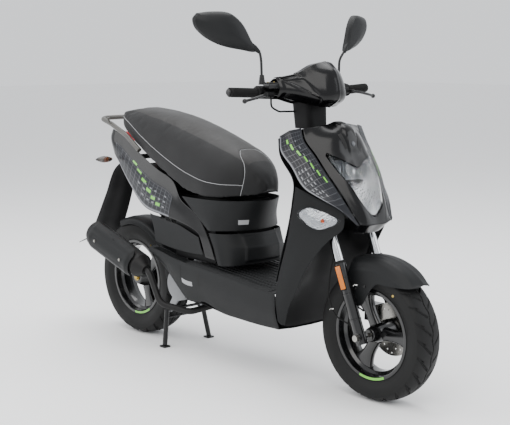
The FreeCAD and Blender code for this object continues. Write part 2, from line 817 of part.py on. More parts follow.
# ---------------------------------------------------------------- frame
def chassis_frame():
    """Steel frame: steering head, spine tube, floor rails, seat rails and engine hanger."""
    head = ring(stem(0, head_tube_low), stem(0, head_tube_high), 27.0, stem_radius + running_gap)
    spine = [stem(0, 520, -16), front(0, 266, 560), front(0, 268, 490), front(0, 304, 400),
             front(0, 350, 300), front(0, 440, 266)]
    shape = tube_run(spine, frame_tube_radius)
    for side in (-1, 1):
        rail = [front(0, 440, 266), front(side * 95, 500, 268), rear(side * 95, -560, 275),
                rear(side * 95, -452, 335), rear(side * 110, -330, 540), rear(side * 96, -20, 762)]
        shape = shape.fuse(tube_run(rail, frame_tube_radius))
        bracket = plate([rear(side * 90 - 3, -466, 335), rear(side * 90 - 3, -438, 345),
                         rear(side * 90 - 3, -engine_pivot_ahead + 12, engine_pivot_height - 12),
                         rear(side * 90 - 3, -engine_pivot_ahead - 12, engine_pivot_height - 12)], 6.0)
        shape = shape.fuse(bracket)
    pin_place = rear(-96, -engine_pivot_ahead, engine_pivot_height)
    shape = shape.fuse(Part.makeCylinder(engine_pivot_radius, 192, pin_place, X))
    shape = shape.fuse(rod(rear(-96, -20, 762), rear(96, -20, 762), 11.0))
    shape = shape.fuse(rod(rear(-95, -560, 275), rear(95, -560, 275), 11.0))
    shape = shape.fuse(rod(rear(80, shock_top_back, shock_top_height),
                           rear(112, shock_top_back, shock_top_height), 6.0))
    lug = plate([rear(107, shock_top_back - 14, shock_top_height - 10),
                 rear(107, shock_top_back + 14, shock_top_height - 10),
                 rear(107, shock_top_back + 10, 764), rear(107, shock_top_back - 30, 736)], 5.0)
    shape = shape.fuse(lug)
    bore = rod(stem(0, head_tube_low - 20), stem(0, head_tube_high + 20), stem_radius + running_gap)
    return shape.fuse(head).cut(bore)


# ---------------------------------------------------------------- front fender
def front_fender():
    clearance = 38.0
    radius = front_tyre_radius + clearance
    half = front_tyre_width / 2 + 13.0
    stations = [(-192, 190, 44.0), (-180, 189, 28.0), (-160, 188, 13.0), (-135, 188, 4.0),
                (-83, 188, 0.0), (-43, 186, 0.0), (-14, 157, 0.0), (22, 104, 0.0),
                (44, 100, 0.0), (62, 120, 0.0), (84, 205, 0.0)]
    rows = []
    for y, edge, pinch in stations:
        top = math.sqrt(radius ** 2 - y ** 2)
        wide = half - pinch
        rows.append([front_axle + Vector(wide, y, edge),
                     front_axle + Vector(wide, y, max(top - 42, edge + 4)),
                     front_axle + Vector(wide * 0.66, y, max(top - 8, edge + 5)),
                     front_axle + Vector(0, y, max(top, edge + 6))])
    return panel([both_sides(row) for row in rows])


def brake_caliper():
    """Sliding caliper astride the disc, on the left leg."""
    centre = front_axle + Vector(disc_plane_x, 86, 50)
    body = Part.makeBox(46, 52, 62, centre + Vector(-23, -26, -31))
    half_slot = disc_thickness / 2 + 1.5
    slot = rod(front_axle + X * (disc_plane_x - half_slot), front_axle + X * (disc_plane_x + half_slot),
               disc_radius + 3.0)
    return body.cut(slot)


# ---------------------------------------------------------------- engine and rear suspension
def stadium(x, first, first_radius, second, second_radius, thickness):
    """Belt-case outline: two bosses joined by straight flanks, thickened along +X."""
    a = Vector(x, first[0], first[1])
    b = Vector(x, second[0], second[1])
    gap = (b - a).Length
    lean = math.asin((first_radius - second_radius) / gap)
    along = (b - a).normalize()
    square = X.cross(along)
    outline = []
    for sign in (1, -1):
        offset = along * math.sin(lean) + square * (sign * math.cos(lean))
        side = [a + offset * first_radius, b + offset * second_radius]
        outline += side if sign > 0 else list(reversed(side))
    web = plate(outline, thickness)
    return web.fuse(rod(a, a + X * thickness, first_radius)).fuse(rod(b, b + X * thickness, second_radius))


def engine_case():
    """Crankcase, cylinder, belt case and gearbox as the one rigid power unit."""
    crank = rear(0, crank_back, crank_height)
    shape = stadium(belt_case_x, (crank.y, crank.z), 74.0, (rear_axle.y, rear_axle.z), 60.0, belt_case_depth)
    shape = shape.fuse(rod(crank - X * 60, crank + X * (belt_case_x + 1), 60.0))
    shape = shape.fuse(rod(crank - X * 104, crank - X * 59, 66.0))
    cylinder_end = rear(0, -488, 300)
    cylinder = rod(rear(0, -370, 284), cylinder_end, 40.0)
    for fin in range(6):
        at = rear(0, -404 - fin * 13, 288.5 + fin * 1.8)
        cylinder = cylinder.fuse(rod(at, at + Vector(0, -5, 0.7), 47.0))
    shape = shape.fuse(cylinder)
    pivot = rear(0, -engine_pivot_ahead, engine_pivot_height)
    shape = shape.fuse(rod(pivot - X * 74, pivot + X * 74, 17.0))
    for x in (-45, 30):
        shape = shape.fuse(plate([rear(x, -engine_pivot_ahead, engine_pivot_height + 17),
                                  rear(x, -engine_pivot_ahead, engine_pivot_height - 17),
                                  rear(x, crank_back - 20, crank_height - 55),
                                  rear(x, crank_back - 30, crank_height - 10)], 15.0))
    shape = shape.cut(rod(pivot - X * 90, pivot + X * 90, engine_pivot_radius + running_gap))
    shape = shape.cut(rod(rear_axle + X * 60, rear_axle + X * 88, rear_axle_radius + running_gap))
    lug = rear(0, shock_foot_back, shock_foot_height)
    ear = rod(lug + X * (belt_case_x + 2), lug + X * (belt_case_x + 12), 15.0)
    shape = shape.fuse(ear).fuse(plate([
        rear(belt_case_x + 2, shock_foot_back - 26, 290), rear(belt_case_x + 2, shock_foot_back + 20, 280),
        rear(belt_case_x + 2, shock_foot_back + 14, shock_foot_height),
        rear(belt_case_x + 2, shock_foot_back - 14, shock_foot_height)], 10.0))
    shape = shape.fuse(rod(lug + X * (belt_case_x + 11), lug + X * (shock_x + 12), 5.0))
    for side in (-1, 1):
        x = side * stand_half_span
        cheek = rod(rear(x - 5, -stand_ahead, stand_height), rear(x + 5, -stand_ahead, stand_height), 12.0)
        web = plate([rear(x - 5, -stand_ahead - 12, stand_height),
                     rear(x - 5, -stand_ahead + 12, stand_height),
                     rear(x - 5, crank_back + 40, crank_height - 30),
                     rear(x - 5, crank_back - 6, crank_height - 40)], 10.0)
        shape = shape.fuse(cheek).fuse(web)
        shape = shape.fuse(rod(rear(x, crank_back + 20, crank_height - 20),
                               rear(0, crank_back + 20, crank_height - 20), 16.0))
    shape = shape.cut(rod(rear(-120, -stand_ahead, stand_height), rear(120, -stand_ahead, stand_height),
                          stand_pin_radius + running_gap))
    return shape


def cvt_cover():
    crank = rear(0, crank_back, crank_height)
    x = belt_case_x + belt_case_depth + 0.5
    cover = stadium(x, (crank.y, crank.z), 70.0, (rear_axle.y, rear_axle.z), 56.0, 22.0)
    rib = stadium(x + 21, (crank.y, crank.z), 52.0, (rear_axle.y, rear_axle.z), 38.0, 6.0)
    shaft = rod(kick_place() - X * 30, kick_place() + X * 20, 7.0 + running_gap)
    return cover.fuse(rib).cut(shaft)


def kick_place():
    return rear(belt_case_x + belt_case_depth + 30, -250, 262)


def kick_lever():
    """Kick-start arm folded back along the belt case, with its rubber pedal."""
    hub = kick_place()
    shaft = rod(hub - X * 14, hub + X * 4, 7.0)
    arm = tube_run([hub + X * 9, hub + Vector(12, 70, -10), hub + Vector(20, 150, 20)], 6.5)
    boss = rod(hub, hub + X * 16, 13.0)
    pedal = rod(hub + Vector(22, 150, 20), hub + Vector(62, 150, 20), 9.0)
    return shaft.fuse(boss).fuse(arm).fuse(pedal)


def muffler_axis():
    rise = math.radians(muffler_rise_deg)
    front_end = rear(muffler_x, -205, 338)
    return front_end, front_end + Vector(0, math.cos(rise), math.sin(rise)) * muffler_length


def exhaust():
    """Header pipe from the cylinder head under the engine to the silencer can."""
    front_end, rear_end = muffler_axis()
    along = (rear_end - front_end).normalize()
    pipe = bent_tube([rear(-20, -480, 249), rear(-34, -496, 200), rear(-120, -440, 176),
                      rear(muffler_x, -330, 200), front_end - along * 60, front_end + along * 10], 13.0, 60.0)
    can = rod(front_end, rear_end, muffler_radius)
    nose = Part.makeCone(22, muffler_radius, 40, front_end - along * 40, along)
    outlet = rod(rear_end - along * 2, rear_end + along * 26, 12.0)
    return pipe.fuse(can).fuse(nose).fuse(outlet)


def muffler_shield():
    """Heat shield over the outside of the silencer."""
    front_end, rear_end = muffler_axis()
    along = (rear_end - front_end).normalize()
    up = along.cross(X).normalize() * -1.0
    rows = []
    for station, bulge in ((12, 8.0), (30, 14.0), (muffler_length - 40, 14.0), (muffler_length - 14, 8.0)):
        row = []
        for angle in (80, 40, 0, -40, -75):
            turn = math.radians(angle)
            spread = muffler_radius + bulge
            around = up * (spread * math.sin(turn)) - X * (spread * math.cos(turn))
            row.append(front_end + along * station + around)
        rows.append(row)
    return panel(rows, 2.0)


def rear_hugger():
    """Inner mudguard that swings with the engine."""
    radius = rear_tyre_radius + 15.0
    half = rear_tyre_width / 2 + 5.0
    rows = []
    for step in range(8):
        turn = math.radians(-22 + step * 15)
        spread = [(half, radius - 30), (half - 3, radius - 8), (half * 0.6, radius + 2), (0, radius + 4)]
        row = [rear_axle + Vector(x, -r * math.sin(turn), r * math.cos(turn)) for x, r in spread]
        rows.append(both_sides(row))
    return panel(rows[::-1])


def shock_line():
    top = rear(shock_x, shock_top_back, shock_top_height)
    foot = rear(shock_x, shock_foot_back, shock_foot_height)
    return top, foot, (foot - top).normalize()


def shock_body():
    top, foot, down = shock_line()
    eye = ring(top - X * 6, top + X * 6, shock_eye_radius, 6.0 + running_gap)
    body = rod(top + down * 13, top + down * 210, 13.0)
    seat = rod(top + down * 34, top + down * 40, 20.0)
    bore = rod(top + down * 60, top + down * 211, 6.0 + running_gap)
    return eye.fuse(body).fuse(seat).cut(bore)


def shock_rod():
    top, foot, down = shock_line()
    eye = ring(foot - X * 6, foot + X * 6, shock_eye_radius, 9.0)
    shaft = rod(top + down * 130, foot - down * 11, 6.0)
    seat = rod(foot - down * 46, foot - down * 40, 20.0)
    return eye.fuse(shaft).fuse(seat)


def shock_spring():
    """Coil spring between the two seats."""
    top, foot, down = shock_line()
    length = (foot - top).Length - 46 - 41
    coils = 11
    path_start = top + down * 41
    helix = Part.makeHelix(length / coils, length - 6, 17.0)
    section = Part.Wire([Part.makeCircle(2.6, Vector(17.0, 0, 0), Y)])
    coil = Part.Wire(helix.Edges).makePipeShell([section], True, True)
    coil.rotate(Vector(0, 0, 0), Z.cross(down), math.degrees(Z.getAngle(down)))
    coil.translate(path_start + down * 2.8)
    return coil


def centre_stand():
    """Two legs on a pivot tube with a cross brace, feet on the ground."""
    shape = rod(rear(-stand_half_span - 16, -stand_ahead, stand_height),
                rear(stand_half_span + 16, -stand_ahead, stand_height), stand_pin_radius)
    for side in (-1, 1):
        top = rear(side * (stand_half_span + 16), -stand_ahead, stand_height)
        foot = rear(side * stand_foot_span, -stand_ahead - 14, stand_tube_radius)
        leg = tube_run([top, foot], stand_tube_radius)
        pad = Part.makeBox(30, 34, 6, foot + Vector(-15, -17, -stand_tube_radius))
        shape = shape.fuse(leg).fuse(Part.makeSphere(stand_tube_radius, foot)).fuse(pad)
    brace_drop = 0.22
    y = rear_axle_y - stand_ahead - 14 * brace_drop
    z = stand_height * (1 - brace_drop) + stand_tube_radius * brace_drop
    reach = stand_half_span + 16
    return shape.fuse(rod(Vector(-reach, y, z), Vector(reach, y, z), 5.0))


# ---------------------------------------------------------------- small moving pieces
def ignition_key():
    """Key in its lock barrel on the rider side of the shield, right of the column."""
    seat = front(-92, 352, 800)
    out = Vector(0, 0.86, 0.5).normalize()
    barrel = rod(seat + out * 10, seat + out * 22, 13.0)
    blade = plate([seat + out * 21 + Z * 4, seat + out * 52 + Z * 11, seat + out * 52 - Z * 9,
                   seat + out * 21 - Z * 4], 3.0)
    return barrel.fuse(blade)


def starter_button():
    start, along = grip_line()
    at = start - along * 30 + Vector(0, 27, 7)
    button = rod(at, at + Vector(0, 7, 2), 6.0)
    return mirrored(button)


def speedo_cable():
    """Cable from the wheel-hub drive up behind the fork to the wheel well."""
    foot = front_axle + Vector(-fork_spacing + 25, 8, 14)
    route = [foot, foot + Vector(-6, 40, 10), foot + Vector(-36, 104, 44), foot + Vector(-44, 128, 116),
             foot + Vector(-30, 130, 196), foot + Vector(-16, 124, 262)]
    return bent_tube(route, 2.6, 60.0)


PARTS = {
    "chassis_frame": chassis_frame,
    "front_fairing": front_fairing,
    "headlight_lens": headlight_lens,
    "wings": lambda: pair(wing()),
    "front_indicators": lambda: pair(front_indicator()),
    "leg_shields": lambda: pair(leg_shield()),
    "wheel_well_liner": wheel_well_liner,
    "inner_shield": inner_shield,
    "floorboard": floorboard,
    "belly_pan": belly_pan,
    "side_skirts": lambda: pair(skirt()),
    "seat_box": seat_box,
    "service_cover": service_cover,
    "side_panels": lambda: pair(side_panel()),
    "tail_panels": lambda: pair(tail_panel()),
    "helmet_bucket": helmet_bucket,
    "fuel_tank": fuel_tank,
    "grab_rail": grab_rail,
    "tail_light": tail_light,
    "rear_indicators": lambda: pair(rear_indicator()),
    "plate_holder": plate_holder,
    "ignition_key": ignition_key,
    "steering_stem": steering_stem,
    "fork_tubes": fork_tubes,
    "handlebar": handlebar,
    "handlebar_cover_front": handlebar_cover_front,
    "handlebar_cover_rear": handlebar_cover_rear,
    "speedometer": speedometer,
    "left_grip": grip,
    "control_pods": lambda: pair(control_pod()),
    "starter_button": starter_button,
    "throttle_grip": lambda: mirrored(grip()),
    "front_brake_lever": lambda: mirrored(brake_lever()),
    "rear_brake_lever": brake_lever,
    "mirror_stalks": lambda: pair(mirror_stalk()),
    "left_mirror_head": mirror_head,
    "right_mirror_head": lambda: mirrored(mirror_head()),
    "fork_legs": fork_legs,
    "front_axle": front_axle_bolt,
    "front_fender": front_fender,
    "brake_caliper": brake_caliper,
    "speedo_cable": speedo_cable,
    "front_rim": front_rim,
    "front_tyre": lambda: tyre(front_tyre_radius, front_tyre_width, front_rim_width, front_axle),
    "brake_disc": brake_disc,
    "engine_case": engine_case,
    "cvt_cover": cvt_cover,
    "exhaust": exhaust,
    "muffler_shield": muffler_shield,
    "rear_hugger": rear_hugger,
    "rear_rim": rear_rim,
    "rear_axle_shaft": rear_axle_shaft,
    "rear_tyre": lambda: tyre(rear_tyre_radius, rear_tyre_width, rear_rim_width, rear_axle),
    "shock_body": shock_body,
    "shock_rod": shock_rod,
    "shock_spring": shock_spring,
    "centre_stand": centre_stand,
    "kick_lever": kick_lever,
    "seat_cushion": seat_cushion,
    "seat_base": seat_base,
}


def main():
    os.makedirs("parts", exist_ok=True)
    for name, make in PARTS.items():
        shape = make()
        print(name, "solids", len(shape.Solids), "valid", shape.isValid())
        shape.exportStep("parts/" + name + ".step")


main()
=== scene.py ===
"""Looks of the moped scooter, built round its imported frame: skins, seat, lights, tyres, decals and stage."""

import json
import math

import bmesh
import bpy
import numpy as np
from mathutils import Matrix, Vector
from mathutils.bvhtree import BVHTree
from mathutils.kdtree import KDTree


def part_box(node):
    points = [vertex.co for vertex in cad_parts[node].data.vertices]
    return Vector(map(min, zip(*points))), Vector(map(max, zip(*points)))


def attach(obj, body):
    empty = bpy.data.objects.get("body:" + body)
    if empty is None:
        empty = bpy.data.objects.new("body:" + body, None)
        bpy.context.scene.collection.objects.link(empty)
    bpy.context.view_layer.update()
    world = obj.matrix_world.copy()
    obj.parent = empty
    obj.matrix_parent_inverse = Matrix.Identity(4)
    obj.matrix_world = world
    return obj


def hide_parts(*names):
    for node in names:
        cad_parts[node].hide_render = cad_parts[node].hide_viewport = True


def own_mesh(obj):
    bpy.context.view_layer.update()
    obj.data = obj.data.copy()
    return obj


bl_info = {
    "name": "Moped scooter looks",
    "version": (1, 0, 0),
    "blender": (4, 5, 0),
    "location": "3D View > Sidebar > Scooter",
    "description": "Builds the visible pieces of a step-through scooter round its fixed frame",
    "category": "Object",
}

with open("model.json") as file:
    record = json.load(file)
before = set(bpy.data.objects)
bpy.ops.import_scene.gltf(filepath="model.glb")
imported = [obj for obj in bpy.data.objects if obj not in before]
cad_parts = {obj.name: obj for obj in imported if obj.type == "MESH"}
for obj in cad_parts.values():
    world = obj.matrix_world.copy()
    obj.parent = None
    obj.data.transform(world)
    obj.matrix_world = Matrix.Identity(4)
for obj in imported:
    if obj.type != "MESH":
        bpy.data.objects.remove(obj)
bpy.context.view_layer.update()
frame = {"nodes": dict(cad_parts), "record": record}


# ---------------------------------------------------------------- places taken from the frame
def middle(name):
    low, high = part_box(name)
    return np.array((low + high) / 2)


FRONT_AXLE = middle("front_tyre")
REAR_AXLE = middle("rear_tyre")
RAKE = math.radians(22.0)
STEER = np.array([0.0, math.sin(RAKE), math.cos(RAKE)])
AHEAD = np.array([0.0, -math.cos(RAKE), math.sin(RAKE)])
X = np.array([1.0, 0.0, 0.0])
UPRIGHT = (X, [0, 1, 0], [0, 0, 1])
WALL = 2.4              # millimetres of a moulded panel
SMOOTH = 38.0           # degrees between faces that still shade as one surface
VOXEL = 0.0065          # metres between the points of the seat's cover while it fills
FILL_STEPS = 20         # steps of the seat's filling


def front(x, y, z):
    """Point in metres from millimetres: across, back from the front axle, up from the ground."""
    return np.array([x * 0.001, FRONT_AXLE[1] + y * 0.001, z * 0.001])


def rear(x, y, z):
    """The same, counted back from the rear axle."""
    return np.array([x * 0.001, REAR_AXLE[1] + y * 0.001, z * 0.001])


def fork(x, s, ahead=0.0):
    """Point on the fork: s up the leg line from the axle, ahead of that line."""
    return FRONT_AXLE + STEER * s * 0.001 + AHEAD * ahead * 0.001 + X * x * 0.001


def unit(vector):
    return np.asarray(vector, float) / np.linalg.norm(vector)


def ramp(value):
    """0 below 0, 1 above 1 and straight between."""
    return np.clip(value, 0, 1)


def squared(value, power):
    """The value's power with its sign kept: makes a circle's sine and cosine squarer."""
    return math.copysign(abs(value) ** power, value)


def flipped(points):
    """The same points on the other side of the machine."""
    return np.asarray(points, float) * np.array([-1.0, 1.0, 1.0])


# ---------------------------------------------------------------- smooth grids
def through(points, fine, hard=()):
    """Smooth curve or grid through all the points, with corners kept at the hard ones."""
    points = np.asarray(points, float)
    count = len(points)
    steps = np.diff(points, axis=0)
    span = np.linalg.norm(steps, axis=-1).reshape(count - 1, -1).mean(axis=1)
    span = np.maximum(span, 1e-5)
    chord = steps / span.reshape((-1,) + (1,) * (points.ndim - 1))
    found = []
    for k in range(count - 1):
        leave = chord[k]
        arrive = chord[k]
        if k > 0 and k not in hard:
            leave = (chord[k - 1] * span[k] + chord[k] * span[k - 1]) / (span[k] + span[k - 1])
        if k < count - 2 and k + 1 not in hard:
            arrive = (chord[k] * span[k + 1] + chord[k + 1] * span[k]) / (span[k] + span[k + 1])
        for step in range(fine):
            t = step / fine
            found.append((2 * t ** 3 - 3 * t ** 2 + 1) * points[k] + (3 * t ** 2 - 2 * t ** 3) * points[k + 1]
                         + (t ** 3 - 2 * t ** 2 + t) * span[k] * leave + (t ** 3 - t ** 2) * span[k] * arrive)
    found.append(points[-1])
    return np.array(found)


def across(rows):
    """Rows given for the left half, edge to centre, completed with their mirror image."""
    full = []
    for row in rows:
        row = np.asarray(row, float)
        keep = row[::-1][np.abs(row[::-1][:, 0]) > 1e-6]
        full.append(np.vstack([row, flipped(keep)]))
    return np.array(full)


class Skin:
    """Smooth outer surface over a grid of points, with relief in metres along its normal.

    The normal looks along rows x columns, or the other way for facing -1."""

    def __init__(self, rows, fine=(6, 6), hard=((), ()), relief=None, facing=1):
        rows = np.asarray(rows, float)
        self.fine = fine
        self.facing = facing
        grid = through(rows, fine[0], hard[0])
        grid = np.swapaxes(through(np.swapaxes(grid, 0, 1), fine[1], hard[1]), 0, 1)
        self.grid = grid
        self.normal = self.normals()
        if relief is not None:
            self.grid = grid + self.normal * relief(grid)[..., None]
            self.normal = self.normals()

    def normals(self):
        up = np.gradient(self.grid, axis=0)
        along = np.gradient(self.grid, axis=1)
        normal = np.cross(up, along) * self.facing
        size = np.linalg.norm(normal, axis=-1, keepdims=True)
        return normal / np.maximum(size, 1e-12)

    def at(self, u, v, lift=0.0):
        """Point at u rows and v columns of the control grid, lifted off the surface."""
        a = min(max(u * self.fine[0], 0.0), len(self.grid) - 1.001)
        b = min(max(v * self.fine[1], 0.0), len(self.grid[0]) - 1.001)
        i, j = int(a), int(b)
        s, t = a - i, b - j
        weights = ((i, j, (1 - s) * (1 - t)), (i + 1, j, s * (1 - t)), (i, j + 1, (1 - s) * t),
                   (i + 1, j + 1, s * t))
        point = sum(self.grid[p, q] * w for p, q, w in weights)
        normal = sum(self.normal[p, q] * w for p, q, w in weights)
        return point + unit(normal) * lift


# ---------------------------------------------------------------- meshes
def tidy(data, weld=1e-6):
    """Welds doubles and turns the faces outwards."""
    work = bmesh.new()
    work.from_mesh(data)
    bmesh.ops.remove_doubles(work, verts=work.verts, dist=weld)
    bmesh.ops.recalc_face_normals(work, faces=work.faces)
    work.to_mesh(data)
    work.free()
    return data


def shade(data, angle):
    """Smooth shading, with edges sharper than the angle in degrees kept."""
    data.shade_smooth()
    data.set_sharp_from_angle(angle=math.radians(angle))


def make(name, points, faces, paint, closed=True, smooth=SMOOTH):
    data = bpy.data.meshes.new(name)
    data.from_pydata([tuple(p) for p in points], [], faces)
    if closed:
        tidy(data)
    shade(data, smooth)
    made = bpy.data.objects.new(name, data)
    bpy.context.scene.collection.objects.link(made)
    made.data.materials.append(material(paint))
    return made


def applied(made):
    """Bakes the piece's modifiers into its mesh."""
    bpy.context.view_layer.update()
    graph = bpy.context.evaluated_depsgraph_get()
    data = bpy.data.meshes.new_from_object(made.evaluated_get(graph))
    made.modifiers.clear()
    made.data = data
    return made


def softened(made, width, angle=50.0, segments=2):
    """Small round on the piece's sharp edges, width in millimetres."""
    edge = made.modifiers.new("round", "BEVEL")
    edge.width = width * 0.001
    edge.segments = segments
    edge.limit_method = "ANGLE"
    edge.angle_limit = math.radians(angle)
    applied(made)
    shade(made.data, angle)
    return made


def combined(made, tool, operation="DIFFERENCE"):
    change = made.modifiers.new("cut", "BOOLEAN")
    change.object = tool
    change.operation = operation
    change.solver = "EXACT"
    applied(made)
    bpy.data.objects.remove(tool)
    shade(made.data, SMOOTH)
    return made


def surface(made):
    """Search tree over the piece's faces."""
    return BVHTree.FromPolygons([v.co.copy() for v in made.data.vertices],
                                [tuple(f.vertices) for f in made.data.polygons])


def joined(first, *others):
    """Several meshes as one piece, each keeping its own material."""
    for other in others:
        offset = len(first.data.materials)
        for paint in other.data.materials:
            first.data.materials.append(paint)
        work = bmesh.new()
        work.from_mesh(first.data)
        count = len(work.faces)
        work.from_mesh(other.data)
        work.faces.ensure_lookup_table()
        for face in list(work.faces)[count:]:
            face.material_index += offset
        work.to_mesh(first.data)
        work.free()
        bpy.data.objects.remove(other)
    return first


def place(made, body, *nodes, finish=None):
    """The piece rides on a body and stands for the listed nodes of the frame."""
    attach(made, body)
    if nodes:
        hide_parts(*nodes)
    return made


def strips(rows, columns, offset=0, ring=False):
    """Quads between the rows of a grid numbered row by row."""
    faces = []
    for i in range(rows - 1 + ring):
        k = (i + 1) % rows
        for j in range(columns - 1):
            faces.append((offset + i * columns + j, offset + k * columns + j,
                          offset + k * columns + j + 1, offset + i * columns + j + 1))
    return faces


def shell(name, skin, wall, paint, round_edge=0.7):
    """Moulded panel of one wall thickness, with softened rims."""
    outer = skin.grid
    inner = outer - skin.normal * wall * 0.001
    rows, columns = outer.shape[:2]
    count = rows * columns
    points = np.vstack([outer.reshape(-1, 3), inner.reshape(-1, 3)])
    faces = strips(rows, columns)
    faces += [tuple(reversed([p + count for p in face])) for face in strips(rows, columns)]
    rim = list(range(columns))
    rim += [i * columns + columns - 1 for i in range(1, rows)]
    rim += [(rows - 1) * columns + j for j in range(columns - 2, -1, -1)]
    rim += [i * columns for i in range(rows - 2, 0, -1)]
    for a, b in zip(rim, rim[1:] + rim[:1]):
        faces.append((a, b, b + count, a + count))
    made = make(name, points, faces, paint)
    if round_edge:
        softened(made, round_edge)
    return made


def patch(name, skin, u_range, v_range, paint, lift=0.0004, cells=(6, 6), slant=0.0):
    """Thin film on a skin between two rows and two columns of its control grid."""
    points = []
    for i in range(cells[0] + 1):
        for j in range(cells[1] + 1):
            s, t = i / cells[0], j / cells[1]
            u = u_range[0] + (u_range[1] - u_range[0]) * s
            v = v_range[0] + (v_range[1] - v_range[0]) * t + slant * s
            points.append(skin.at(u, v, lift))
    return make(name, points, strips(cells[0] + 1, cells[1] + 1), paint, closed=False)


def bands(count, size):
    """Quads between equal closed loops numbered one after another."""
    return [(i * size + j, i * size + (j + 1) % size, (i + 1) * size + (j + 1) % size, (i + 1) * size + j)
            for i in range(count - 1) for j in range(size)]


def loft(name, loops, paint, smooth=SMOOTH):
    """Closed body through equal closed loops, capped by fans."""
    loops = np.asarray(loops, float)
    count, size = loops.shape[:2]
    points = list(loops.reshape(-1, 3)) + [loops[0].mean(axis=0), loops[-1].mean(axis=0)]
    faces = bands(count, size)
    for j in range(size):
        k = (j + 1) % size
        faces.append((count * size, j, k))
        faces.append((count * size + 1, (count - 1) * size + k, (count - 1) * size + j))
    return make(name, points, faces, paint, smooth=smooth)


def closed_curve(points, fine, hard=()):
    """Smooth closed outline through the points, corners kept at the hard ones."""
    points = list(points)
    count = len(points)
    wrapped = np.array(points[-2:] + points + points[:3], float)
    corners = {k + 2 for k in hard} | {k + 2 + count for k in hard} | {k + 2 - count for k in hard}
    curve = through(wrapped, fine, corners)
    return curve[2 * fine:(2 + count) * fine]


def turn(name, profile, origin, axis, paint, steps=48, loop=False, smooth=SMOOTH):
    """Body turned about an axis, from (along, radius) corners in millimetres."""
    axis = unit(axis)
    pick = np.array([0.0, 0.0, 1.0]) if abs(axis[2]) < 0.9 else np.array([0.0, 1.0, 0.0])
    side = unit(np.cross(axis, pick))
    top = np.cross(axis, side)
    profile = list(profile) + ([profile[0]] if loop else [])
    points = []
    for step in range(steps):
        angle = 2 * math.pi * step / steps
        out = side * math.cos(angle) + top * math.sin(angle)
        for along, radius in profile:
            points.append(origin + axis * along * 0.001 + out * radius * 0.001)
    return make(name, points, strips(steps, len(profile), ring=True), paint, smooth=smooth)


def tube(name, path, radius, paint, sides=10):
    """Round cord, hose or wire along a path, radius in millimetres."""
    path = np.asarray(path, float)
    tangent = np.gradient(path, axis=0)
    tangent /= np.linalg.norm(tangent, axis=1, keepdims=True)
    pick = np.array([0.0, 0.0, 1.0]) if abs(tangent[0][2]) < 0.9 else X
    side = unit(np.cross(tangent[0], pick))
    loops = []
    for point, ahead in zip(path, tangent):
        side = unit(side - ahead * side.dot(ahead))
        other = np.cross(ahead, side)
        loops.append([point + (side * math.cos(a) + other * math.sin(a)) * radius * 0.001
                      for a in np.linspace(0, 2 * math.pi, sides, endpoint=False)])
    return loft(name, loops, paint, smooth=60.0)


def bolt(name, at, axis, radius, height, paint, sides=6):
    """Bolt head with a washer face under it."""
    washer = turn(name, [(0, 0), (0, radius * 1.35), (height * 0.25, radius * 1.35), (height * 0.25, 0)],
                  at, axis, paint, 24)
    head = turn(name + "_head", [(height * 0.25, 0), (height * 0.25, radius), (height * 0.85, radius),
                                 (height, radius * 0.8), (height, 0)], at, axis, paint, sides, smooth=20.0)
    return joined(washer, head)


def rounded_box(name, centre, axes, half, paint, edge=2.0):
    """Box with softened edges: half sizes in millimetres along three axes."""
    axes = [unit(a) * size for a, size in zip(axes, half)]
    signs = [(-1, -1), (1, -1), (1, 1), (-1, 1)]
    loops = []
    for level in (-1, 1):
        loops.append([centre + (axes[0] * s + axes[1] * t + axes[2] * level) * 0.001 for s, t in signs])
    made = loft(name, loops, paint, smooth=30.0)
    return softened(made, edge, 30.0, 3)


# ---------------------------------------------------------------- materials
def to_linear(code):
    """Colour of an sRGB hex code in the linear values that shaders take."""
    found = []
    for k in (1, 3, 5):
        value = int(code[k:k + 2], 16) / 255.0
        found.append(value / 12.92 if value <= 0.04045 else ((value + 0.055) / 1.055) ** 2.4)
    return (*found, 1.0)


def node(tree, kind, sockets=None, **settings):
    """Adds a node: settings are its attributes, sockets hold values or links."""
    made = tree.nodes.new(kind)
    for key, value in settings.items():
        setattr(made, key, value)
    for key, value in (sockets or {}).items():
        if isinstance(value, bpy.types.NodeSocket):
            tree.links.new(value, made.inputs[key])
        else:
            made.inputs[key].default_value = value
    return made


def finish(name, dark, light, rough, grain, depth, cells=False, drift=0.09, **sockets):
    """Surface whose tone and gloss drift slowly, with a fine relief: grain and depth in millimetres."""
    made = bpy.data.materials.new(name)
    made.use_nodes = True
    made.diffuse_color = to_linear(light)
    tree = made.node_tree
    shader = tree.nodes["Principled BSDF"]
    at = node(tree, "ShaderNodeTexCoord").outputs["Object"]
    slow = node(tree, "ShaderNodeTexNoise", {"Vector": at, "Scale": 1.0 / drift, "Detail": 4.0}).outputs[0]
    tone = node(tree, "ShaderNodeValToRGB", {"Fac": slow})
    tone.color_ramp.elements[0].position = 0.3
    tone.color_ramp.elements[1].position = 0.7
    tone.color_ramp.elements[0].color = to_linear(dark)
    tone.color_ramp.elements[1].color = to_linear(light)
    gloss = node(tree, "ShaderNodeMapRange", {"Value": slow, "From Min": 0.3, "From Max": 0.7,
                                              "To Min": rough * 0.88, "To Max": rough * 1.12})
    kind = "ShaderNodeTexVoronoi" if cells else "ShaderNodeTexNoise"
    fine = node(tree, kind, {"Vector": at, "Scale": 1000.0 / grain}).outputs[0]
    relief = node(tree, "ShaderNodeBump", {"Height": fine, "Distance": depth * 0.001, "Strength": 1.0})
    tree.links.new(tone.outputs["Color"], shader.inputs["Base Color"])
    tree.links.new(gloss.outputs["Result"], shader.inputs["Roughness"])
    tree.links.new(relief.outputs["Normal"], shader.inputs["Normal"])
    for key, value in sockets.items():
        shader.inputs[key.replace("_", " ")].default_value = value
    return made


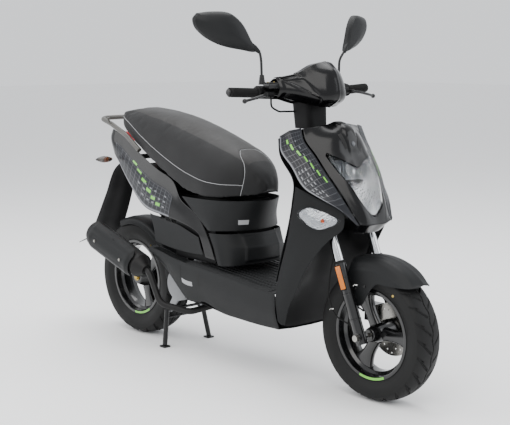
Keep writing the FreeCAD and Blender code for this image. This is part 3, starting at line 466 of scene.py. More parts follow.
def lens(name, colour, clear, rough, ripple=0.0):
    """Moulded lens that shows what is behind it; ripple is the pitch of its optics in millimetres."""
    made = bpy.data.materials.new(name)
    made.use_nodes = True
    made.diffuse_color = (*to_linear(colour)[:3], 0.4)
    tree = made.node_tree
    shader = tree.nodes["Principled BSDF"]
    at = node(tree, "ShaderNodeTexCoord").outputs["Object"]
    waves = node(tree, "ShaderNodeTexNoise", {"Vector": at, "Scale": 1000.0 / (ripple or 40.0)}).outputs[0]
    depth = 0.0006 if ripple else 0.0002
    relief = node(tree, "ShaderNodeBump", {"Height": waves, "Distance": depth, "Strength": 0.6})
    tree.links.new(relief.outputs["Normal"], shader.inputs["Normal"])
    shader.inputs["Base Color"].default_value = to_linear(colour)
    shader.inputs["Roughness"].default_value = rough
    shader.inputs["IOR"].default_value = 1.49
    shader.inputs["Transmission Weight"].default_value = 1.0
    shader.inputs["Alpha"].default_value = 1.0 - clear
    return made


RECIPES = {
    # Deep black lacquer on ABS: restrained reflections over a nearly black base.
    "lacquer": lambda: finish("Black lacquer on ABS, sprayed", "#020203", "#040405", 0.22, 6.0, 0.02,
                              Specular_IOR_Level=0.2, Coat_Weight=0.2, Coat_Roughness=0.12),
    # Unpainted polypropylene from an etched mould: soft broad sheen, fine even grain.
    "moulding": lambda: finish("Charcoal polypropylene, mould grained", "#111213", "#161718", 0.5, 0.9, 0.12,
                                Specular_IOR_Level=0.2),
    # The same moulding in the floor, a little lighter where shoes have rubbed it.
    "floor": lambda: finish("Grey polypropylene floor, mould grained", "#151617", "#1b1c1d", 0.5, 1.1, 0.14,
                             Specular_IOR_Level=0.2),
    # Black polypropylene of the liners and lamp bars; on the backing sheets behind the panel gaps it is painted
    # shade.
    "black_plastic": lambda: finish("Black polypropylene, mould grained", "#070708", "#0a0a0b", 0.55, 1.0, 0.1,
                                     Specular_IOR_Level=0.15),
    # Metallic grey lacquer under a film of clear: darker in its hollows, slight sparkle.
    "graphite": lambda: finish("Graphite metallic lacquer, sprayed", "#17181c", "#1e1f24", 0.38, 0.5, 0.015,
                               cells=True, Metallic=0.15, Specular_IOR_Level=0.22, Coat_Weight=0.15,
                               Coat_Roughness=0.14),
    # Printed film in leaf green, satin.
    "green_film": lambda: finish("Green vinyl film, printed", "#5fae2a", "#6cc132", 0.35, 2.0, 0.01,
                                 Coat_Weight=0.4),
    # Printed film in pale grey.
    "grey_film": lambda: finish("Pale grey vinyl film, printed", "#66686d", "#727479", 0.35, 2.0, 0.01,
                                Coat_Weight=0.4),
    # Printed film one tone above the graphite, for the grid lines.
    "line_film": lambda: finish("Mid grey vinyl film, printed", "#3a3c41", "#43454a", 0.35, 2.0, 0.01,
                                Coat_Weight=0.4),
    # Coated fabric on the seat's sides: dull, leather-like cells about a millimetre across.
    "vinyl": lambda: finish("Charcoal seat vinyl, embossed", "#121213", "#171718", 0.6, 1.4, 0.22, cells=True,
                            Specular_IOR_Level=0.22, Sheen_Weight=0.05),
    # Smoother vinyl in the sitting panel, slightly brown; a little lighter than the sides as a painted sheen on
    # the seat's top.
    "vinyl_top_sheen": lambda: finish("Dark brown seat vinyl, smooth, lightened as painted sheen", "#141312", "#1a1817", 0.48, 2.2, 0.12,
                                cells=True, Specular_IOR_Level=0.27, Sheen_Weight=0.05),
    # Polyester thread along the seams.
    "thread": lambda: finish("Pale polyester thread, twisted", "#8f9092", "#a2a3a5", 0.7, 0.7, 0.3),
    # Hard chrome on the fork tubes and the bulb's cap.
    "chrome": lambda: finish("Hard chrome, polished", "#c9cbcd", "#d6d8da", 0.08, 8.0, 0.01, Metallic=1.0),
    # Vacuum-coated aluminium inside the lamps.
    "reflector": lambda: finish("Aluminium film, vacuum coated", "#8f9296", "#b4b7ba", 0.2, 7.0, 1.6,
                                cells=True, Metallic=1.0),
    # Sand-cast aluminium of the engine: dull, pitted.
    "cast": lambda: finish("Cast aluminium, sand blasted", "#77787a", "#8b8c8e", 0.45, 1.2, 0.16, Metallic=1.0),
    # Ground steel of the disc and axles.
    "steel": lambda: finish("Ground steel, bare", "#8d8b87", "#a3a19c", 0.28, 0.6, 0.03, Metallic=1.0),
    # Yellow-passivated zinc on the small fasteners.
    "zinc": lambda: finish("Zinc plate, yellow passivated", "#a08a4c", "#c2aa66", 0.32, 3.0, 0.03, Metallic=1.0),
    # Black powder coat on tubes and stays: slightly orange-peeled satin.
    "powder": lambda: finish("Black powder coat on steel, baked", "#0b0b0c", "#111112", 0.35, 1.6, 0.06,
                             Specular_IOR_Level=0.3, Coat_Weight=0.15, Coat_Roughness=0.2),
    # Warm grey paint on the grab rail.
    "rail": lambda: finish("Warm grey enamel on steel, sprayed", "#35332f", "#403e39", 0.4, 1.2, 0.04,
                           Coat_Weight=0.2, Coat_Roughness=0.2),
    # Gloss enamel on the wheels and fork legs.
    "enamel": lambda: finish("Black enamel on cast alloy, sprayed", "#060607", "#0b0b0c", 0.22, 3.0, 0.04,
                             Specular_IOR_Level=0.35, Coat_Weight=0.5, Coat_Roughness=0.1),
    # Heat-proof black on the silencer.
    "heatproof": lambda: finish("Black heat-proof paint on steel", "#0f0f0f", "#161515", 0.5, 1.0, 0.06,
                                Specular_IOR_Level=0.25),
    # Tyre compound: dull with a faint bloom.
    "tyre": lambda: finish("Tyre rubber, moulded", "#0f0f0f", "#151515", 0.6, 1.0, 0.1,
                           Specular_IOR_Level=0.22),
    # Soft rubber of grips, boots and hoses.
    "rubber": lambda: finish("Black rubber, moulded", "#0c0c0c", "#121212", 0.7, 0.8, 0.08,
                             Specular_IOR_Level=0.2),
    # Painted shade: near-black standing in for the shade inside slots, vents and holes; also the dial's own
    # black face.
    "hole_shade_and_dial_black": lambda: finish("Near-black painted hole shade, also dial face", "#020202", "#040404", 0.8, 1.0, 0.02),
    # Silvered glass of the mirrors.
    "mirror": lambda: finish("Silvered glass, float", "#c2c6c8", "#cfd3d5", 0.03, 60.0, 0.01, Metallic=1.0),
    # White plastic of ties and dial marks.
    "white_plastic": lambda: finish("White nylon, moulded", "#d4d4d0", "#e0e0dc", 0.45, 1.0, 0.03),
    # Grey blank plates and the turn switch, matte.
    "grey_plate": lambda: finish("Grey film on plastic, printed", "#8b8c8e", "#9a9b9d", 0.5, 1.5, 0.02),
    # Front lamp and indicator covers.
    "clear": lambda: lens("Clear polycarbonate, injection moulded", "#f2f5f8", 0.92, 0.02),
    # Indicator cover with moulded optics.
    "prism": lambda: lens("Clear polycarbonate, fluted", "#e6ebf0", 0.86, 0.08, 5.0),
    # Tail lamp.
    "red": lambda: lens("Red acrylic, fluted", "#b00810", 0.15, 0.1, 5.0),
    # Rear indicators.
    "smoke": lambda: lens("Smoked acrylic, moulded", "#3a3430", 0.1, 0.06, 6.0),
    # Lamp bulbs in amber glass.
    "amber": lambda: lens("Amber glass bulb, blown", "#ff8a10", 0.0, 0.1, 5.0),
    # Amber cube-corner reflector.
    "reflex": lambda: finish("Amber acrylic reflector, moulded", "#b05a08", "#cc740e", 0.25, 2.5, 0.4,
                             cells=True, Coat_Weight=0.3),
    # Clear glass bulb.
    "bulb": lambda: lens("Clear glass bulb, blown", "#ffffff", 0.3, 0.02),
}
made_materials = {}


def material(key):
    if key not in made_materials:
        made_materials[key] = RECIPES[key]()
    return made_materials[key]


def sizes():
    return bpy.context.scene.scooter_looks


# ---------------------------------------------------------------- front bodywork
def mask_relief(grid):
    """Raised spine down the middle of the mask, with a shallow channel on both sides of it."""
    x = np.abs(grid[..., 0]) * 1000
    z = grid[..., 2] * 1000
    tall = ramp((z - 838) / 30) * ramp((962 - z) / 12)
    half = 20 + (z - 840) * 0.05
    spine = ramp((half - x) / 4 + 0.5) * 0.0042
    channel = -np.exp(-((x - half - 20) / 12) ** 2) * 0.002
    return tall * (spine + channel)


def mask_skin():
    rows = across([
        [front(140, 240, 938), front(62, 215, 950), front(0, 212, 960)],
        [front(142, 228, 905), front(70, 175, 918), front(0, 160, 940)],
        [front(134, 180, 850), front(66, 132, 850), front(0, 128, 850)],
        [front(124, 135, 790), front(70, 92, 790), front(0, 104, 795)],
        [front(108, 92, 730), front(64, 60, 730), front(0, 66, 735)],
        [front(92, 55, 670), front(54, 30, 668), front(0, 36, 668)],
        [front(78, 24, 620), front(40, 14, 615), front(0, 16, 615)],
        [front(70, 60, 588), front(38, 48, 584), front(0, 48, 582)],
    ])
    return Skin(rows, (10, 14), ((6,), ()), mask_relief, -1)


LAMP = [(0, 803), (54, 826), (100, 855), (107, 845), (95, 793), (76, 752), (60, 712), (40, 673), (0, 643),
        (-40, 673), (-60, 712), (-76, 752), (-95, 793), (-107, 845), (-100, 855), (-54, 826)]


def lamp_loop(grow):
    """Outline of the headlight seen from the front, grown by a gap in millimetres."""
    scale = 1.0 + grow / 90.0
    outline = [(x * scale, 740 + (z - 740) * scale) for x, z in LAMP]
    return closed_curve([(x * 0.001, 0.0, z * 0.001) for x, z in outline], 6, (0, 2, 3, 13, 14))


def lamp_tool(grow):
    loop = lamp_loop(grow)
    near = loop + np.array([0, FRONT_AXLE[1] - 0.06, 0])
    return loft("tool", [near, near + np.array([0, 0.3, 0])], "hole_shade_and_dial_black")


def build_fairing():
    skin = mask_skin()
    made = combined(shell("front_fairing_skin", skin, WALL, "lacquer"), lamp_tool(3.0))
    place(made, "frame", "front_fairing", finish="gloss_black")
    # The slot and vent patches are near-black painted shade laid on the skin, standing for the depth of the
    # openings.
    slot_top = patch("fairing_slot", skin, (0.12, 0.5), (1.72, 2.28), "hole_shade_and_dial_black", 0.0006, (4, 10))
    vents = []
    for side in (-1, 1):
        middle_v = 2 + side * 0.62
        vents.append(patch("fairing_vent", skin, (1.1, 1.75), (middle_v - 0.09, middle_v + 0.09), "hole_shade_and_dial_black",
                           0.0005, (8, 4), side * -0.16))
    boss = turn("fairing_boss", [(-2, 0), (-2, 9), (1.2, 8.5), (2.4, 6), (2.8, 0)], skin.at(1.62, 2.0),
                [0, -0.94, 0.34], "line_film", 32)
    place(joined(slot_top, *vents, boss), "frame", finish="gloss_black").name = "fairing_vents"


def on_surface(tree, x, z):
    """Depth of the mask at a point seen from the front."""
    hit = tree.ray_cast(Vector((x, FRONT_AXLE[1] - 0.3, z)), Vector((0, 1, 0)))[0]
    return hit[1] if hit is not None else None


def build_headlight():
    skin = mask_skin()
    body = shell("headlight_skin", skin, 3.0, "clear", 0)
    tree = surface(body)
    cover = combined(body, lamp_tool(0.0), "INTERSECT")
    place(cover, "frame", "headlight_lens", finish="clear_lens")
    rim = []
    for point in lamp_loop(-3.0):
        depth = on_surface(tree, point[0], point[2])
        rim.append([point[0], depth + 0.004, point[2]])
    rim = np.array(rim)
    centre = rim.mean(axis=0) + np.array([0, 0.075, 0.012])
    loops = [rim]
    for share, depth in ((0.94, 0.30), (0.84, 0.55), (0.66, 0.80), (0.42, 0.96), (0.2, 1.0)):
        loop = centre + (rim - centre) * share
        loop[:, 1] = rim[:, 1] + (centre[1] - rim[:, 1]) * depth
        loops.append(loop)
    points = np.array(loops).reshape(-1, 3)
    bowl = make("headlight_bowl", points, bands(len(loops), len(rim)), "reflector", smooth=25.0)
    place(bowl, "frame", finish="chrome")
    bulb = turn("headlight_bulb", [(-2, 0), (-2, 14), (8, 14), (9, 9), (34, 8.5), (40, 5), (42, 0)],
                centre + np.array([0, -0.002, 0]), [0, -1, 0.1], "bulb", 24)
    cap = turn("headlight_bulb_cap", [(30, 0), (30, 9.4), (41, 8.2), (43.5, 0)],
               centre + np.array([0, -0.002, 0]), [0, -1, 0.1], "chrome", 24)
    pieces = [cap]
    for z, half_x, tilt in ((0.052, 78, 0.2), (-0.028, 52, -0.1)):
        at = centre + np.array([0, -0.03, z])
        pieces.append(rounded_box("headlight_bar", at, (X, [0, -1, tilt], [0, tilt, 1]), (half_x, 12, 2.2),
                                  "black_plastic", 1.0))
    for side in (-1, 1):
        for step in range(4):
            at = centre + np.array([side * (0.024 + 0.015 * step), -0.034, 0.012])
            fin = (1.0, 9, 30 - 3 * step)
            pieces.append(rounded_box("headlight_fin", at, (X, [0, -1, 0], [0, 0, 1]), fin, "reflector", 0.5))
    place(joined(bulb, *pieces), "frame", finish="clear_lens")


def wing_skin():
    return Skin([
        [front(213, 280, 915), front(185, 262, 934), front(145, 244, 941)],
        [front(215, 277, 870), front(186, 240, 890), front(147, 232, 904)],
        [front(208, 227, 809), front(175, 195, 835), front(139, 184, 848)],
        [front(200, 180, 745), front(165, 150, 775), front(129, 138, 788)],
        [front(170, 125, 708), front(140, 105, 718), front(113, 95, 728)],
        [front(130, 72, 672), front(112, 62, 666), front(97, 57, 668)],
        [front(96, 32, 628), front(90, 28, 620), front(83, 25, 619)],
    ], (8, 12), ((), (1,)), facing=-1)


def sides(name, build):
    """The same pieces on the left and mirrored on the right, as one piece."""
    left = build()
    right = left.copy()
    right.data = left.data.copy()
    bpy.context.scene.collection.objects.link(right)
    for vertex in right.data.vertices:
        vertex.co.x = -vertex.co.x
    right.data.flip_normals()
    made = joined(left, right)
    made.name = name
    return made


def film_grid(skin, u_range, v_range, steps, blocks, squares, cell=(0.34, 0.30)):
    """Printed film: fine grid lines, a diagonal row of green blocks and scattered pale squares."""
    pieces = []
    wide, tall = cell
    u0, u1 = u_range
    v0, v1 = v_range
    for k in range(steps[0] + 1):
        u = u0 + (u1 - u0) * k / steps[0]
        pieces.append(patch("line", skin, (u - 0.012, u + 0.012), v_range, "line_film", 0.0003, (1, 14)))
    for k in range(steps[1] + 1):
        v = v0 + (v1 - v0) * k / steps[1]
        pieces.append(patch("line", skin, u_range, (v - 0.008, v + 0.008), "line_film", 0.0003, (24, 1)))
    for u, v in blocks:
        pieces.append(patch("block", skin, (u, u + wide), (v, v + tall), "green_film", 0.0005, (5, 5)))
    for u, v in squares:
        pieces.append(patch("square", skin, (u, u + wide / 2), (v, v + tall / 2), "grey_film", 0.0005, (3, 3)))
    return joined(*pieces)


def build_wings():
    skin = wing_skin()
    place(sides("wing_skins", lambda: shell("wing", skin, WALL, "graphite")), "frame", "wings",
          finish="graphite_panel")
    blocks = [(0.55 + 0.42 * k, 0.55 + 0.17 * k) for k in range(7)]
    squares = [(2.3 + 0.26 * (k % 7), 0.25 + 0.23 * (k // 7)) for k in range(21) if k % 5 != 3]
    squares += [(0.8 + 0.42 * k, 1.2 + 0.1 * (k % 2)) for k in range(5)]
    film = sides("wing_films", lambda: film_grid(skin, (0.25, 4.6), (0.15, 1.85), (14, 8), blocks, squares,
                                                 (0.30, 0.13)))
    place(film, "frame", finish="graphite_panel")
    edge = sides("wing_edges",
                 lambda: patch("edge", skin, (0.1, 5.2), (0.03, 0.11), "grey_film", 0.0005, (40, 2)))
    place(edge, "frame", finish="graphite_panel")


def indicator_skin():
    return Skin([
        [front(203, 200, 640), front(204, 201, 650), front(203, 203, 660)],
        [front(196, 165, 616), front(194, 163, 646), front(188, 168, 676)],
        [front(170, 130, 600), front(168, 128, 634), front(160, 140, 668)],
        [front(140, 100, 612), front(140, 99, 631), front(138, 104, 650)],
        [front(117, 80, 622), front(117, 79, 627), front(116, 78, 632)],
    ], (8, 8), facing=-1)


def build_front_indicators():
    skin = indicator_skin()
    cover = sides("front_indicator_skins", lambda: shell("cover", skin, 2.6, "prism", 0.5))
    place(cover, "frame", "front_indicators", finish="clear_lens")

    def inside():
        back = Skin(np.array([[p - n * 0.012 for p, n in zip(row, normals)]
                              for row, normals in zip(skin.grid[::4, ::4], skin.normal[::4, ::4])]), (3, 3))
        bowl = shell("bowl", back, 1.0, "reflector", 0)
        bulb = turn("bulb", [(0, 0), (0, 6), (4, 7), (7, 5), (8, 0)], skin.at(2.2, 1.0, -0.011),
                    [0.75, -0.65, 0.1], "amber", 24)
        return joined(bowl, bulb)
    place(sides("front_indicator_lamps", inside), "frame", finish="chrome")


def build_leg_shields():
    rows = [
        [front(204, 212, 745), front(150, 142, 700), front(100, 80, 668)],
        [front(207, 218, 690), front(160, 156, 650), front(104, 74, 625)],
        [front(206, 232, 625), front(168, 164, 600), front(112, 78, 598)],
        [front(204, 251, 554), front(178, 184, 555), front(140, 120, 556)],
        [front(202, 270, 499), front(186, 215, 493), front(160, 170, 491)],
        [front(201, 290, 442), front(190, 245, 438), front(168, 206, 433)],
        [front(200, 308, 380), front(190, 275, 370), front(170, 240, 367)],
        [front(196, 318, 330), front(184, 300, 312), front(168, 274, 314)],
        [front(182, 320, 250), front(172, 314, 236), front(160, 306, 232)],
    ]
    skin = Skin(rows, (6, 10), facing=-1)
    place(sides("leg_shield_skins", lambda: shell("side", skin, WALL, "moulding", 0.9)),
          "frame", "leg_shields", finish="matte_grey")
    liner = Skin(across([
        [front(140, 152, 560), front(110, 238, 560), front(70, 242, 560), front(0, 242, 560)],
        [front(152, 192, 490), front(115, 222, 490), front(70, 234, 490), front(0, 234, 490)],
        [front(160, 224, 430), front(115, 236, 430), front(70, 247, 430), front(0, 247, 430)],
        [front(162, 258, 367), front(115, 270, 367), front(70, 276, 367), front(0, 276, 367)],
        [front(160, 292, 310), front(115, 296, 310), front(70, 298, 310), front(0, 298, 310)],
        [front(152, 314, 226), front(115, 314, 222), front(70, 314, 220), front(0, 314, 220)],
    ]), (5, 5), facing=-1)
    place(shell("wheel_well_skin", liner, WALL, "black_plastic"), "frame", "wheel_well_liner",
          finish="black_plastic")


def build_inner_shield():
    skin = Skin(across([
        [front(210, 292, 905), front(130, 352, 905), front(60, 404, 905), front(0, 410, 905)],
        [front(211, 284, 850), front(140, 318, 850), front(70, 374, 850), front(0, 386, 850)],
        [front(206, 222, 760), front(140, 274, 760), front(70, 328, 760), front(0, 338, 760)],
        [front(206, 228, 690), front(140, 264, 690), front(70, 298, 690), front(0, 306, 690)],
        [front(204, 250, 600), front(140, 268, 600), front(70, 286, 600), front(0, 290, 600)],
        [front(201, 284, 500), front(140, 294, 500), front(70, 303, 500), front(0, 305, 500)],
        [front(198, 316, 396), front(140, 330, 396), front(70, 340, 396), front(0, 342, 396)],
    ])[::-1], (7, 7), facing=-1)
    place(shell("inner_shield_skin", skin, WALL, "moulding", 0.9),
          "frame", "inner_shield", finish="matte_grey")
    pocket = Skin([[skin.at(u, v, 0.0015) for v in (0.7, 1.2, 1.7, 2.1)] for u in (3.1, 3.5, 4.0, 4.4)],
                  (4, 4), facing=-1)
    door = shell("glove_box_door", pocket, 1.6, "moulding", 0.5)
    place(door, "frame", finish="matte_grey")
    hook = tube("bag_hook", through([skin.at(2.6, 3, 0.0), skin.at(2.6, 3, 0.022), skin.at(2.45, 3, 0.03),
                                     skin.at(2.3, 3, 0.024)], 8), 3.2, "black_plastic")
    place(hook, "frame", finish="black_plastic")


# ---------------------------------------------------------------- floor and skirts
def build_floor():
    levels = [(front(0, 350, 0)[1], 352), (front(0, 440, 0)[1], 356), (front(0, 540, 0)[1], 368),
              (rear(0, -690, 0)[1], 377), (rear(0, -590, 0)[1], 386), (rear(0, -490, 0)[1], 394)]
    rows = across([[np.array([x, y, z * 0.001]) for x in (0.147, 0.08, 0.0)] for y, z in levels])
    skin = Skin(rows, (6, 6))
    floor = shell("floor_skin", skin, 3.0, "floor", 0.8)
    ribs = []
    for k in range(11):
        v = 0.25 + 0.35 * k
        rib = [skin.at(u, v, 0.0002) for u in np.linspace(0.25, 4.6, 30)]
        ribs.append(tube("rib", rib, 2.6, "floor", 8))
    place(joined(floor, *ribs), "frame", "floorboard", finish="floor_grey")


def build_skirts():
    stations = [
        (front(0, 328, 0)[1], 214, 280, 350), (front(0, 440, 0)[1], 213, 290, 354),
        (front(0, 540, 0)[1], 216, 300, 366), (rear(0, -690, 0)[1], 222, 310, 375),
        (rear(0, -590, 0)[1], 247, 325, 384), (rear(0, -485, 0)[1], 240, 330, 393),
        (rear(0, -417, 0)[1], 290, 360, 402), (rear(0, -350, 0)[1], 345, 390, 416),
        (rear(0, -270, 0)[1], 392, 410, 426),
    ]
    rows = [[np.array([0.152, y, (top + 2) * 0.001]), np.array([0.190, y, top * 0.001]),
             np.array([0.188, y, side * 0.001]), np.array([0.167, y, low * 0.001])]
            for y, low, side, top in stations]
    skin = Skin(rows, (6, 8), ((), (1,)), facing=-1)

    def side():
        pieces = [shell("skirt", skin, WALL, "moulding", 0.9)]
        for k in range(16):
            u = 5.1 + 0.17 * k
            line = [skin.at(u, v, 0.0004) for v in np.linspace(0.12, 0.9, 8)]
            pieces.append(tube("tread", line, 2.0, "floor", 8))
        for k in range(9):
            v = 0.1 + 0.1 * k
            line = [skin.at(u, v, 0.0) for u in np.linspace(0.3, 4.8, 30)]
            pieces.append(tube("rib", line, 1.8, "floor", 8))
        return joined(*pieces)
    place(sides("skirt_skins", side), "frame", "side_skirts", finish="matte_grey")

    def marks():
        plate = patch("plate", skin, (4.5, 5.15), (2.05, 2.25), "grey_plate", 0.0006, (6, 6))
        # The slots are near-black strips of painted shade on the skin, not cut openings.
        slots = [patch("slot", skin, (u, u + 0.05), (1.3, 2.2), "hole_shade_and_dial_black", 0.0005, (2, 8)) for u in (4.1, 5.2)]
        return joined(plate, *slots)
    place(sides("skirt_marks", marks), "frame", finish="matte_grey")


# ---------------------------------------------------------------- under the seat and the tail
def level(z, *points):
    """Row of points at one height, counted back from the rear axle."""
    return [rear(x, y, z) for x, y in points]


def build_seat_box():
    box = Skin(across([
        level(645, (162, -448), (163, -590), (148, -664), (98, -722), (0, -768)),
        level(590, (165, -526), (164, -600), (150, -652), (98, -708), (0, -746)),
        level(530, (169, -612), (168, -636), (150, -664), (96, -703), (0, -726)),
    ]), (10, 8), facing=-1)
    made = shell("seat_box_skin", box, WALL, "moulding", 0.9)
    badge = patch("badge", box, (1.3, 1.6), (4.6, 5.0), "grey_plate", 0.0008, (4, 6))
    place(joined(made, badge), "frame", "seat_box", finish="matte_grey")

    def facets(grid):
        x = np.abs(grid[..., 0]) * 1000
        z = grid[..., 2] * 1000
        inside = ramp((88 - x) / 3) * ramp((512 - z) / 3) * ramp((z - 414) / 3)
        band = ramp((470 - z) / 3 + 0.5)
        return inside * (0.0035 + band * 0.003)
    cover = Skin(across([
        level(520, (169, -616), (166, -642), (150, -676), (90, -712), (0, -732)),
        level(470, (170, -644), (167, -668), (148, -696), (88, -738), (0, -752)),
        level(402, (171, -672), (169, -692), (152, -714), (92, -738), (0, -746)),
    ]), (16, 14), ((1,), (3, 5)), facets, -1)
    place(shell("service_cover_skin", cover, WALL, "moulding", 0.9),
          "frame", "service_cover", finish="matte_grey")


def tail_skin():
    return Skin([
        [rear(171, -655, 420), rear(171, -628, 422), rear(171, -600, 424)],
        [rear(170, -615, 498), rear(170, -590, 500), rear(170, -563, 502)],
        [rear(167, -575, 552), rear(168, -560, 530), rear(169, -548, 514)],
        [rear(158, -435, 632), rear(163, -430, 595), rear(165, -425, 545)],
        [rear(144, -374, 694), rear(156, -350, 640), rear(158, -320, 556)],
        [rear(138, -266, 734), rear(151, -240, 670), rear(146, -190, 574)],
        [rear(122, -134, 786), rear(138, -110, 735), rear(128, -66, 654)],
        [rear(104, 16, 856), rear(120, 14, 800), rear(112, 30, 738)],
        [rear(94, 94, 876), rear(104, 96, 840), rear(100, 84, 786)],
        [rear(60, 130, 870), rear(64, 132, 850), rear(64, 124, 815)],
    ], (8, 10), facing=-1)


def build_tail():
    skin = tail_skin()
    place(sides("tail_skins", lambda: shell("tail", skin, WALL, "lacquer", 0.8)), "frame", "tail_panels",
          finish="gloss_black")
    blocks = [(4.25 + 0.33 * k, 1.55 - 0.17 * k) for k in range(6)]
    squares = [(4.0 + 0.3 * (k % 6), 1.1 + 0.25 * (k // 6)) for k in range(18) if k % 4 != 1]

    def film():
        base = patch("base", skin, (3.6, 7.4), (0.75, 1.92), "graphite", 0.0003, (40, 12))
        grid = film_grid(skin, (3.65, 7.3), (0.8, 1.88), (15, 6), blocks, squares, (0.24, 0.13))
        for vertex in grid.data.vertices:
            vertex.co.x += 0.0003
        edge = patch("edge", skin, (3.6, 7.4), (1.9, 1.96), "grey_film", 0.0006, (40, 2))
        return joined(base, grid, edge)
    place(sides("tail_films", film), "frame", finish="graphite_panel")
    panel = Skin([
        [rear(168, -555, 496), rear(170, -570, 462), rear(171, -586, 432)],
        [rear(167, -520, 505), rear(169, -530, 470), rear(171, -545, 430)],
        [rear(163, -425, 530), rear(167, -440, 480), rear(170, -455, 430)],
        [rear(157, -320, 540), rear(164, -340, 490), rear(168, -365, 436)],
        [rear(148, -225, 554), rear(158, -262, 500), rear(164, -280, 446)],
    ], (8, 8), facing=-1)
    place(sides("side_panel_skins", lambda: shell("side", panel, WALL, "moulding", 0.9)),
          "frame", "side_panels", finish="matte_grey")


def build_backing():
    """Black sheets behind the panel gaps, as painted shade seen through them, and the lid round the steering
    column.
    """
    def sheet():
        grid = [[rear(154, y, z) for z in (402, 470, 545)] for y in (-640, -560, -480, -400)]
        return shell("sheet", Skin(grid, (4, 4)), 1.5, "black_plastic")
    place(sides("gap_shade_sheets", sheet), "frame", finish="black_plastic")
    lid = shell("column_lid", Skin(across([
        [front(205, 274, 908), front(143, 245, 937), front(62, 224, 942), front(0, 222, 948)],
        [front(200, 288, 898), front(130, 344, 898), front(60, 394, 898), front(0, 400, 898)],
    ]), (8, 8)), 2.0, "black_plastic")
    stem = np.array(FRONT_AXLE + AHEAD * -0.035 + STEER * 0.72)
    lid = combined(lid, turn("tool", [(-100, 0), (-100, 44), (100, 44), (100, 0)], stem, STEER, "hole_shade_and_dial_black", 48))
    place(lid, "frame", finish="black_plastic")


def build_rear_lights():
    low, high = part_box("tail_light")
    block = rounded_box("tail_light_skin", np.array((low + high) / 2), UPRIGHT,
                        tuple((high - low) * 500), "red", 5.0)
    place(block, "frame", "tail_light", finish="red_lens")

    def pod():
        stations = [((132, 62, 751), 8, 8), ((140, 70, 751), 15, 12), ((158, 76, 751), 20, 14),
                    ((176, 84, 751), 15, 9), ((186, 88, 751), 7, 4)]
        loops = []
        for (x, y, z), deep, tall in stations:
            loops.append([rear(x, y + deep * math.cos(a), z + tall * math.sin(a))
                          for a in np.linspace(0, 2 * math.pi, 24, endpoint=False)])
        lamp = loft("pod", through(loops, 4), "smoke")
        bulb = turn("bulb", [(0, 0), (0, 6), (14, 6), (18, 0)], rear(142, 74, 751), [1, 0.2, 0], "amber", 20)
        stalk = turn("stalk", [(0, 0), (0, 6), (15, 6), (15, 0)], rear(120, 72, 751), X, "rubber", 20)
        return joined(lamp, bulb, stalk)
    place(sides("rear_indicator_skins", pod), "frame", "rear_indicators", finish="smoke_lens")
    skin = Skin(across([
        [rear(50, 70, 735), rear(30, 80, 742), rear(0, 82, 744)],
        [rear(55, 125, 712), rear(34, 140, 718), rear(0, 142, 720)],
        [rear(72, 190, 582), rear(44, 206, 586), rear(0, 208, 588)],
        [rear(80, 247, 474), rear(48, 262, 478), rear(0, 264, 480)],
        [rear(85, 300, 388), rear(50, 312, 396), rear(0, 314, 398)],
        [rear(88, 380, 352), rear(52, 386, 360), rear(0, 386, 362)],
    ]), (8, 8))
    place(shell("plate_holder_skin", skin, 3.0, "black_plastic", 0.8), "frame", "plate_holder",
          finish="black_plastic")


# ---------------------------------------------------------------- seat
# Back from the rear axle; heights of foot, seam and crown; half widths at foot, seam and sitting panel.
SEAT = [
    (-790, 678, 698, 716, 26, 30, 20),
    (-774, 670, 702, 750, 44, 50, 34),
    (-742, 663, 706, 790, 76, 82, 56),
    (-705, 658, 706, 818, 108, 114, 80),
    (-670, 655, 707, 838, 134, 140, 92),
    (-600, 652, 712, 864, 156, 162, 102),
    (-480, 666, 736, 904, 158, 164, 108),
    (-330, 722, 788, 944, 148, 158, 112),
    (-180, 790, 852, 968, 132, 146, 110),
    (-50, 856, 912, 976, 114, 124, 96),
    (24, 888, 932, 970, 88, 96, 76),
    (58, 902, 932, 956, 56, 62, 48),
]


def seat_form():
    """Closed cushion a little under its finished size, to be filled out by the pressure inside."""
    rows = []
    for y, low, seam, crown, w_low, w_seam, w_top in SEAT:
        sag = min(18.0, (crown - seam) * 0.25)
        shoulder = ((w_seam + w_top) / 2 + 1, (seam + crown) / 2 + 7 - sag * 0.6)
        half = [(w_low, low), (w_seam - 4, seam), shoulder, (w_top * 0.8, crown - 8 - sag), (0, crown - sag)]
        rows.append([rear(x, y, z) for x, z in half])
    top = Skin(across(rows), (8, 6)).grid
    share = np.linspace(0, 1, top.shape[1])
    loops = []
    for row in top:
        left, right = row[-1] * [0.92, 1, 1], row[0] * [0.92, 1, 1]
        under = [left + (right - left) * s + np.array([0, 0, 0.012]) for s in share[3:-3]]
        loops.append(np.vstack([row, under]))
    return loft("seat_cushion_skin", loops, "vinyl", 60.0)


